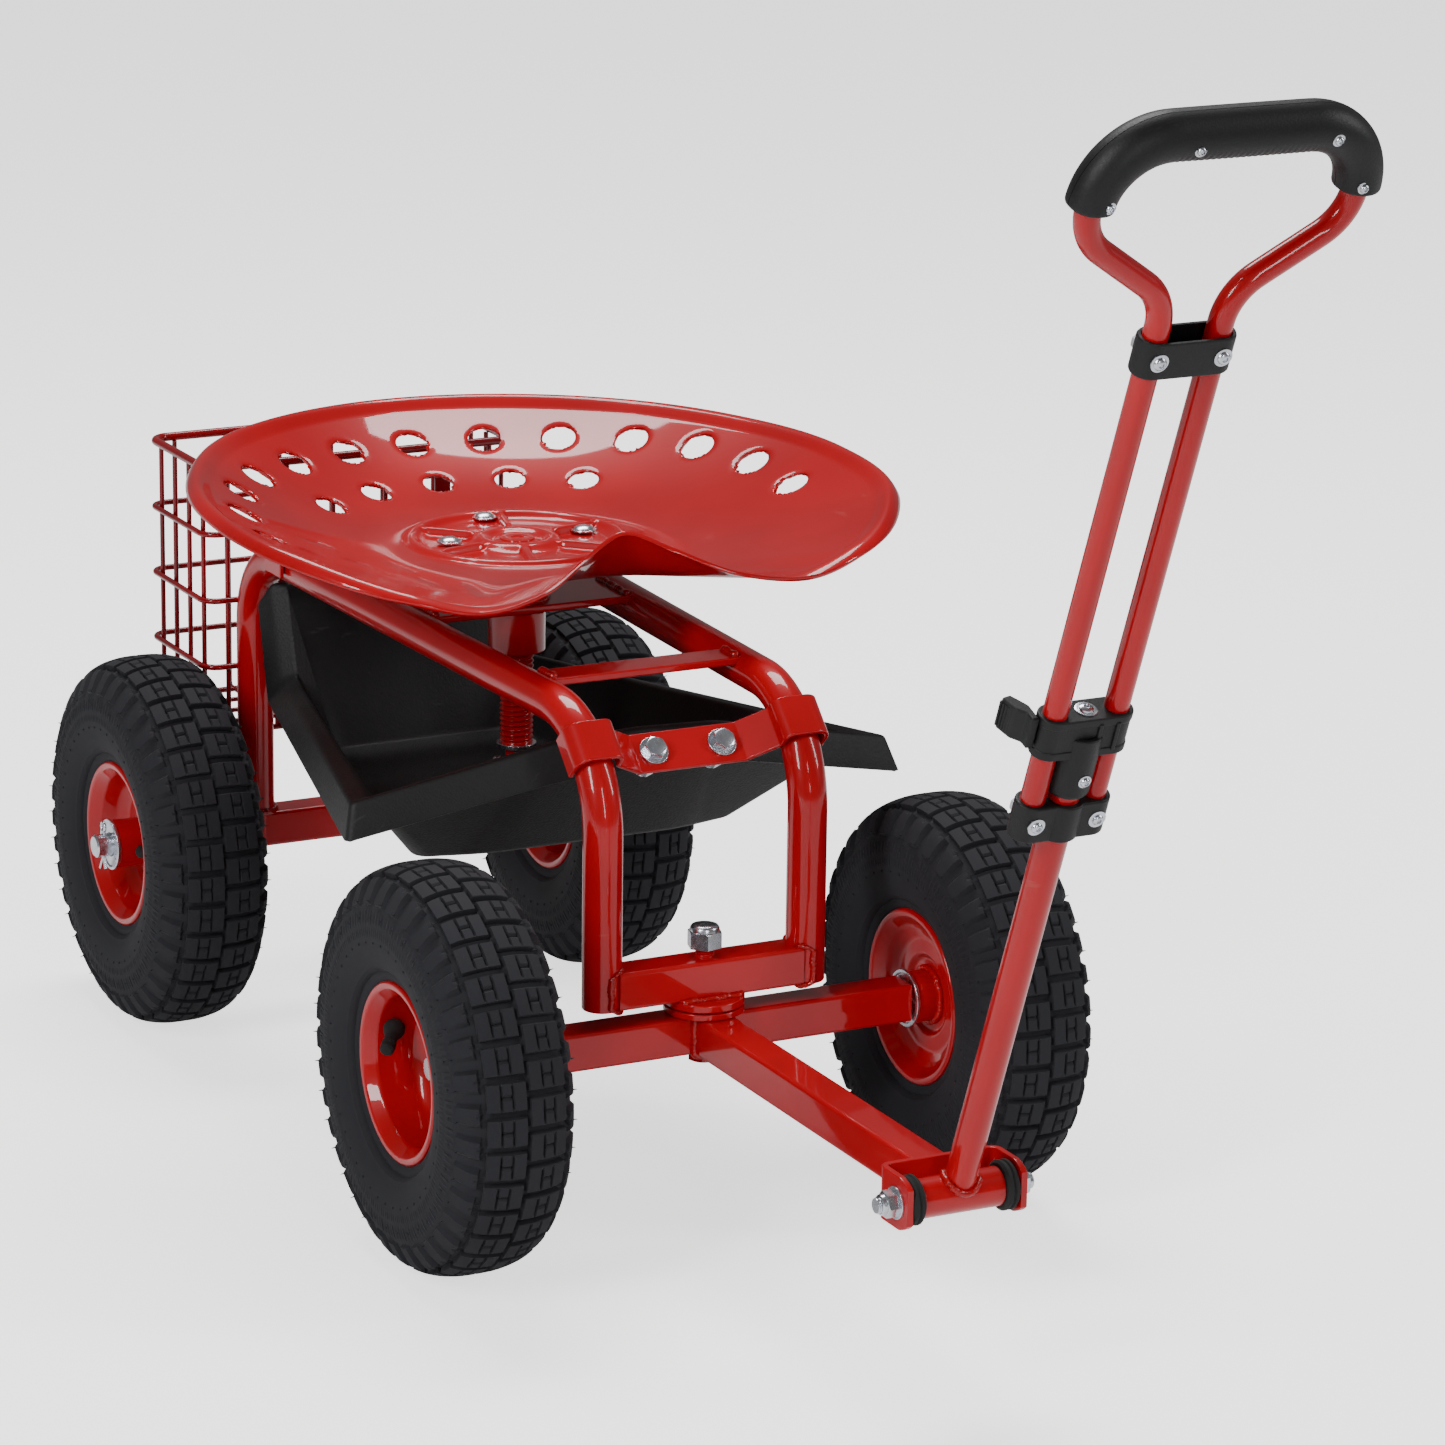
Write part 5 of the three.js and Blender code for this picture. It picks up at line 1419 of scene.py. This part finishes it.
@dataclass
class Handle:
    """Telescopic handle: barrel and lower tube, sliding loop, clamps, lock lever and grip.

    Its parts are laid out with Z along the handle from the pivot, and then leaned over.
    """

    lean: float = 21.7
    tube: float = 9.5
    loop_radius: float = 7.25
    loop_half: float = 19.5
    side_radius: float = 10.0
    flare_at: float = 620.0
    shoulder_at: float = 662.0
    top: float = 720.0
    half_width: float = 80.5
    corner_cut: float = 23.0
    grip_from: float = 680.0
    grip_radius: float = 13.2
    slider_at: float = 338.0
    clamp_at: float = 280.0
    collar_at: float = 586.0

    def placed(self, sheets: Iterable[Sheet]) -> list[Sheet]:
        """Leans sheets over about the pivot and moves them there."""
        angle = np.radians(self.lean)
        turn = np.array([[1, 0, 0], [0, np.cos(angle), -np.sin(angle)], [0, np.sin(angle), np.cos(angle)]])
        pivot = middle_mm("left_friction_ring")
        return [s.moved(turn, np.array([0.0, pivot[1], pivot[2]])) for s in sheets]

    def make(self, name: str, body: str, finish: Finish, sheets: Iterable[Sheet],
             replaces: Sequence[str] = (), sharp: float = 38.0) -> None:
        """Places sheets and makes one piece of them."""
        Piece(name, body, finish, replaces, sharp).make(self.placed(sheets))

    def build(self) -> None:
        """Makes the pieces of the handle from the pivot up."""
        self.lower_tube()
        self.rings()
        self.loop()
        self.lower_clamp()
        self.slider()
        self.lever()
        self.collar()
        self.grip()

    def lower_tube(self) -> None:
        """Pivot barrel and lower tube with the weld saddle between them."""
        barrel = lathed(rounded([[0, 5.5], [0, 12], [54, 12], [54, 5.5]], 0.8, closed=True, step=20),
                        np.array([-27.0, 0, 0]), X_AXIS, 64, closed=True)
        tube = pin(np.array([0, 0, 6.0]), Z_AXIS, self.slider_at - 16.0, self.tube, 1.0, 48)
        self.make("pivot_barrel_and_tube", "handle", Finish.RED, [barrel, tube], ["lower_handle_tube"], 50)
        angle = np.linspace(0, TAU, 90, endpoint=False)
        x, y = (self.tube + 0.8) * np.cos(angle), (self.tube + 0.8) * np.sin(angle)
        saddle = np.stack([x, y, np.sqrt(np.maximum(12.6**2 - y**2, 1.0))], -1)
        bead = weld(saddle, Z_AXIS, 2.1, closed=True)
        self.make("handle_foot_weld", "handle", Finish.WELD, [bead], sharp=60)

    def rings(self) -> None:
        """Ribbed rubber friction rings between the barrel and the clevis ears."""
        for name, side in SIDES.items():
            low, high = box_mm(f"{name}_friction_ring")
            outer = (high[2] - low[2]) / 2.0
            width = high[0] - low[0]
            corners = [[0, 5.6], [0, outer - 1.6], [1.4, outer], [3.0, outer], [3.6, outer - 1.0],
                       [4.6, outer - 1.0], [5.2, outer], [width - 1.4, outer], [width, outer - 1.6],
                       [width, 5.6]]
            start = np.array([low[0], (low[1] + high[1]) / 2, (low[2] + high[2]) / 2])
            ring = lathed(rounded(corners, 0.5, closed=True, step=25), start, X_AXIS, 72, closed=True)
            Piece(f"{name}_rubber_ring", "handle", Finish.RUBBER, [f"{name}_friction_ring"]).make([ring])

    def loop_path(self) -> Array:
        """Middle line of the loop: each top corner is two bends in a row, so that it is wide and round."""
        half = [[self.loop_half, 0, self.clamp_at - 9.0], [self.loop_half, 0, self.flare_at],
                [self.half_width, 0, self.shoulder_at], [self.half_width, 0, self.top - self.corner_cut],
                [self.half_width - self.corner_cut, 0, self.top]]
        corners = half + [[-x, y, z] for x, y, z in half[::-1]]
        return rounded(corners, [0, 34, 34, 40, 40, 40, 40, 34, 34, 0], step=5.0)

    def loop(self) -> None:
        """Bent tube of the sliding loop, from one foot round the top to the other."""
        loop = carried(self.loop_path(), round_section(self.loop_radius, 32), Y_AXIS)
        self.make("sliding_loop_tube", "handle_loop", Finish.RED, [loop], ["handle_loop"], 50)

    def lower_clamp(self) -> None:
        """Clamp block that ties the loop's feet round the lower tube."""
        z0, z1 = self.clamp_at - 12.0, self.clamp_at + 12.0
        body = slab(slot_outline(self.loop_half, self.side_radius), z0, z1, 1.4)
        boss = lathed(rounded([[0, 0], [0, 13.2], [24, 13.2], [24, 0]], [0, 1.2, 1.2, 0], step=15),
                      np.array([0, 0, z0]), Z_AXIS, 64)
        self.make("loop_foot_clamp", "handle_loop", Finish.BLACK, [body, boss], ["lower_loop_clamp"])
        self.screws("loop_foot_screws", "handle_loop", self.clamp_at, 3.4)

    def screws(self, name: str, body: str, z: float, radius: float) -> None:
        """A domed screw over each loop tube, on the front of a clamp, and its lock nut behind."""
        heads = []
        for side in SIDES.values():
            x, reach = side * self.loop_half, self.side_radius - 0.2
            heads += [screw_head(np.array([x, -reach, z]), -Y_AXIS, radius, 5.4),
                      hexagon(np.array([x, reach, z]), Y_AXIS, 9.5, 3.2)]
        self.make(name, body, Finish.ZINC, heads)

    def slider(self) -> None:
        """Sliding clamp: a banded block with a window in front, a skirt round the tube and its screws."""
        z, h = self.slider_at, 13.0
        outline = slot_outline(self.loop_half, self.side_radius)
        middle = slab(outline * [0.985, 0.94], z - h + 1.0, z + h - 1.0, 0.8)
        bands = [slab(outline, z + a, z + b, 1.0) for a, b in ((-h, -h + 5.5), (h - 5.5, h))]
        corners = [[0, 9.9], [0, 12.4], [2.0, 13.3], [40, 13.3], [40, 9.9]]
        skirt = lathed(rounded(corners, 0.9, closed=True, step=15), np.array([0, 0, z - 40.0]), Z_AXIS, 64,
                       closed=True)
        front = -self.side_radius + 0.4
        bar = bar_section(2.6, 2.0, 0.6)
        window = [carried(np.array([[x, front, z - 9.0], [x, front, z + 9.0]]), bar, Y_AXIS)
                  for x in (6.0, 17.0)]
        self.make("slider_clamp_body", "handle", Finish.BLACK, [middle, *bands, skirt, *window],
                  ["slider_clamp"])
        heads = [screw_head(np.array([0, 0, z + h - 0.2]), Z_AXIS, 4.4, 6.6),
                 screw_head(np.array([2.0, -13.1, z - 27.0]), -Y_AXIS, 3.0, 4.0)]
        self.make("slider_screws", "handle", Finish.ZINC, heads)

    def lever(self) -> None:
        """Cam lever on the left end of the slider, with finger ridges on its outer face."""
        low_edge, high_edge = self.slider_at - 7.8, self.slider_at + 12.5
        corners = [[-34.6, -2.0], [-30.0, -2.0], [-30.0, 11.0], [-32.2, 15.0], [-36.4, 22.0],
                   [-42.6, 20.6], [-39.4, 9.0], [-34.6, 4.0]]
        outline = rounded(corners, [1, 0.6, 2, 3, 1.6, 1.6, 4, 3], closed=True, step=12.0)
        arm = slab(outline, low_edge, high_edge, 1.3)
        ridges = []
        for share in np.linspace(0.15, 0.95, 6):
            x, y = -38.0 - 4.6 * share, 8.0 + 12.4 * share
            path = np.array([[x, y, low_edge + 2.2], [x, y, high_edge - 2.2]])
            ridges.append(carried(path, round_section(0.9, 12), X_AXIS))
        self.make("cam_lock_lever", "lock_lever", Finish.BLACK, [arm, *ridges], ["lock_lever"])

    def collar(self) -> None:
        """Open band round both tubes with a sunken web, held by two screws."""
        z0, z1 = self.collar_at - 11.0, self.collar_at + 11.0
        outer = slot_outline(self.loop_half, self.side_radius)
        inner = slot_outline(self.loop_half, self.side_radius - 2.2)
        rows = [(inner, z0), (outer * [0.985, 0.94], z0), (outer, z0 + 1.0), (outer, z1 - 1.0),
                (outer * [0.985, 0.94], z1), (inner, z1)]
        grid = np.stack([np.column_stack([line, np.full(len(line), z)]) for line, z in rows])
        web = slab(slot_outline(self.loop_half - 2.0, self.side_radius - 1.6), z0 + 2.0, z0 + 9.0, 0.4)
        self.make("loop_collar_band", "handle_loop", Finish.BLACK, [Sheet(grid, loop_rows=True), web],
                  ["upper_loop_collar"], 45)
        self.screws("loop_collar_screws", "handle_loop", self.collar_at, 3.8)

    def grip(self) -> None:
        """Two moulded halves round the top of the loop, knurled below, with four screws in front."""
        path = spaced(self.loop_path(), 0.9)
        path = path[path[:, 2] > self.grip_from]
        length = np.arange(len(path)) * 0.9
        from_end = np.minimum(length, length[::-1])
        swell = 1.0 + 0.05 * np.sin(np.clip(length / length[-1], 0, 1) * np.pi)
        swell -= 0.3 * np.clip(1 - from_end / 2.4, 0, 1) ** 2
        straight = np.clip((44.0 - np.abs(path[:, 0])) / 4.0, 0.0, 1.0)
        knurl = 0.55 * straight * (0.5 + 0.5 * np.sin(length * TAU / 3.6))
        for name, side in (("front", 1.0), ("rear", -1.0)):
            angle = np.linspace(0.0, np.pi, 25)
            outer = np.stack([np.cos(angle), np.sin(angle) * side], -1) * self.grip_radius
            below = np.clip(-np.cos(angle) * 2.0 - 0.4, 0.0, 1.0)
            reach = 1.0 - knurl[:, None] * below[None] / self.grip_radius
            arch = outer[None] * reach[..., None]
            arch[..., 1] += side * 0.2
            inner = np.stack([np.cos(angle[::-1]), np.sin(angle[::-1]) * side], -1) * (self.loop_radius + 0.3)
            inner = np.broadcast_to(inner[None], (len(path),) + inner.shape) + [0.0, side * 0.2]
            section = np.concatenate([arch, inner / swell[:, None, None]], 1)
            shell = carried(path, section, Y_AXIS, size=swell)
            self.make(f"{name}_grip_shell", "handle_loop", Finish.BLACK, [shell], [f"{name}_grip_half"], 45)
        front = -self.grip_radius
        places = [(x, front + 0.2, self.top - 2.0) for x in (-31.0, 52.0)]
        places += [(side * (self.half_width - 4.0), front + 0.9, self.grip_from + 7.0) for side in SIDES.values()]
        heads = [screw_head(np.array(place), -Y_AXIS, 2.6, 3.6) for place in places]
        self.make("grip_screws", "handle_loop", Finish.ZINC, heads)


# ------------------------------------------------------------------ studio


@dataclass
class Studio:
    """Pale floor, soft light and the camera.

    The camera stands back from a point above the middle of the cart, turned to the side and raised,
    and is shifted within its own picture plane.
    """

    azimuth: float = -26.985
    elevation: float = 15.651
    roll: float = 0.793
    distance: float = 3.68836
    lens: float = 139.55
    aim: tuple[float, float, float] = (0.0, 0.2, 0.3)
    shift_right: float = 0.09993
    shift_up: float = -0.01872

    def build(self) -> None:
        """Makes the floor, the lights, the sky and the camera."""
        self.floor()
        self.sky()
        self.lamp("key_panel", (-2.4, -1.2, 1.9), (0.5, 1.8), 58.0)
        self.lamp("fill_panel", (2.4, -1.5, 1.8), (0.4, 1.6), 30.0)
        self.lamp("top_panel", (0.3, 1.4, 3.2), (2.2, 1.0), 95.0)
        self.lamp("front_strip", (-0.5, -3.4, 1.3), (0.3, 1.6), 20.0)
        self.camera()

    def floor(self) -> None:
        """Large plain pale floor, which looks brighter to the camera than to the cart."""
        reach = 14.0
        mesh = bpy.data.meshes.new("studio_floor")
        mesh.from_pydata([(-reach, -reach, 0), (reach, -reach, 0), (reach, reach, 0), (-reach, reach, 0)], [],
                         [(0, 1, 2, 3)])
        floor = bpy.data.objects.new("studio_floor", mesh)
        bpy.context.scene.collection.objects.link(floor)
        graph = Graph("pale_floor")
        tone = graph.noise(0.6, 1.0)
        seen = graph.node("ShaderNodeLightPath", {}, {}, "Is Camera Ray")
        mesh.materials.append(graph.dress(
            Base_Color=graph.blend(tone, (0.84, 0.84, 0.84, 1.0), (0.86, 0.86, 0.86, 1.0)),
            Emission_Color=graph.blend(seen, (0.06, 0.06, 0.06, 1.0), (1.0, 1.0, 1.0, 1.0)),
            Emission_Strength=1.6, Roughness=0.7, Specular_IOR_Level=0.1))

    @staticmethod
    def sky() -> None:
        """Even white surroundings, dim for the cart and bright behind it."""
        world = bpy.data.worlds.new("studio_white")
        world.use_nodes = True
        tree = world.node_tree
        seen = tree.nodes.new("ShaderNodeLightPath")
        mix = tree.nodes.new("ShaderNodeMix")
        mix.data_type = "RGBA"
        mix.inputs[6].default_value = (0.08, 0.08, 0.08, 1.0)
        mix.inputs[7].default_value = (1.0, 1.0, 1.0, 1.0)
        tree.links.new(seen.outputs["Is Camera Ray"], mix.inputs[0])
        tree.links.new(mix.outputs[2], tree.nodes["Background"].inputs["Color"])
        tree.nodes["Background"].inputs["Strength"].default_value = 2.0
        bpy.context.scene.world = world

    @staticmethod
    def lamp(name: str, place: tuple[float, float, float], size: tuple[float, float], watts: float) -> None:
        """Rectangular soft light aimed at the middle of the cart."""
        data = bpy.data.lights.new(name, "AREA")
        data.shape = "RECTANGLE"
        data.size, data.size_y = size
        data.energy = watts
        lamp = bpy.data.objects.new(name, data)
        bpy.context.scene.collection.objects.link(lamp)
        lamp.location = place
        lamp.rotation_euler = (Vector((0.0, 0.05, 0.3)) - lamp.location).to_track_quat("-Z", "Y").to_euler()

    def camera(self) -> None:
        """Long-lens camera at its azimuth, elevation and roll."""
        turn, rise, roll = np.radians([self.azimuth, self.elevation, self.roll])
        back = np.array([np.sin(turn) * np.cos(rise), -np.cos(turn) * np.cos(rise), np.sin(rise)])
        right = unit(np.cross(-back, Z_AXIS))
        up = np.cross(right, -back)
        rolled_right = np.cos(roll) * right + np.sin(roll) * up
        rolled_up = np.cos(roll) * up - np.sin(roll) * right
        shift = self.shift_right * rolled_right + self.shift_up * rolled_up
        target = np.array(self.aim) + STEERING_AXIS + shift
        matrix = np.eye(4)
        matrix[:3, 0], matrix[:3, 1], matrix[:3, 2] = rolled_right, rolled_up, back
        matrix[:3, 3] = target + back * self.distance
        data = bpy.data.cameras.new("studio_camera")
        data.lens, data.sensor_width = self.lens, 36.0
        camera = bpy.data.objects.new("studio_camera", data)
        bpy.context.scene.collection.objects.link(camera)
        camera.matrix_world = Matrix(matrix.tolist())
        bpy.context.scene.camera = camera


# ------------------------------------------------------------------ the cart


def main() -> None:
    """Builds the studio and the cart, sub-assembly by sub-assembly."""
    logging.basicConfig(level=logging.INFO, format="%(name)s %(message)s")
    Studio().build()
    deep_dish = Rim(hub_outer=-4.0, web=-13.0)
    Wheel("front", "left", 20.0, "front_axle", rim=deep_dish).build()
    Wheel("front", "right", 250.0, "front_axle", rim=deep_dish).build()
    Wheel("rear", "left", 180.0, "chassis", rim=Rim(valve_out=10.0)).build()
    Wheel("rear", "right", 310.0, "chassis", rim=Rim(valve_out=10.0)).build()
    Chassis().build()
    Steering().build()
    Seat().build()
    Tray().build()
    Basket().build()
    Handle().build()


if __name__ == "__main__":
    main()
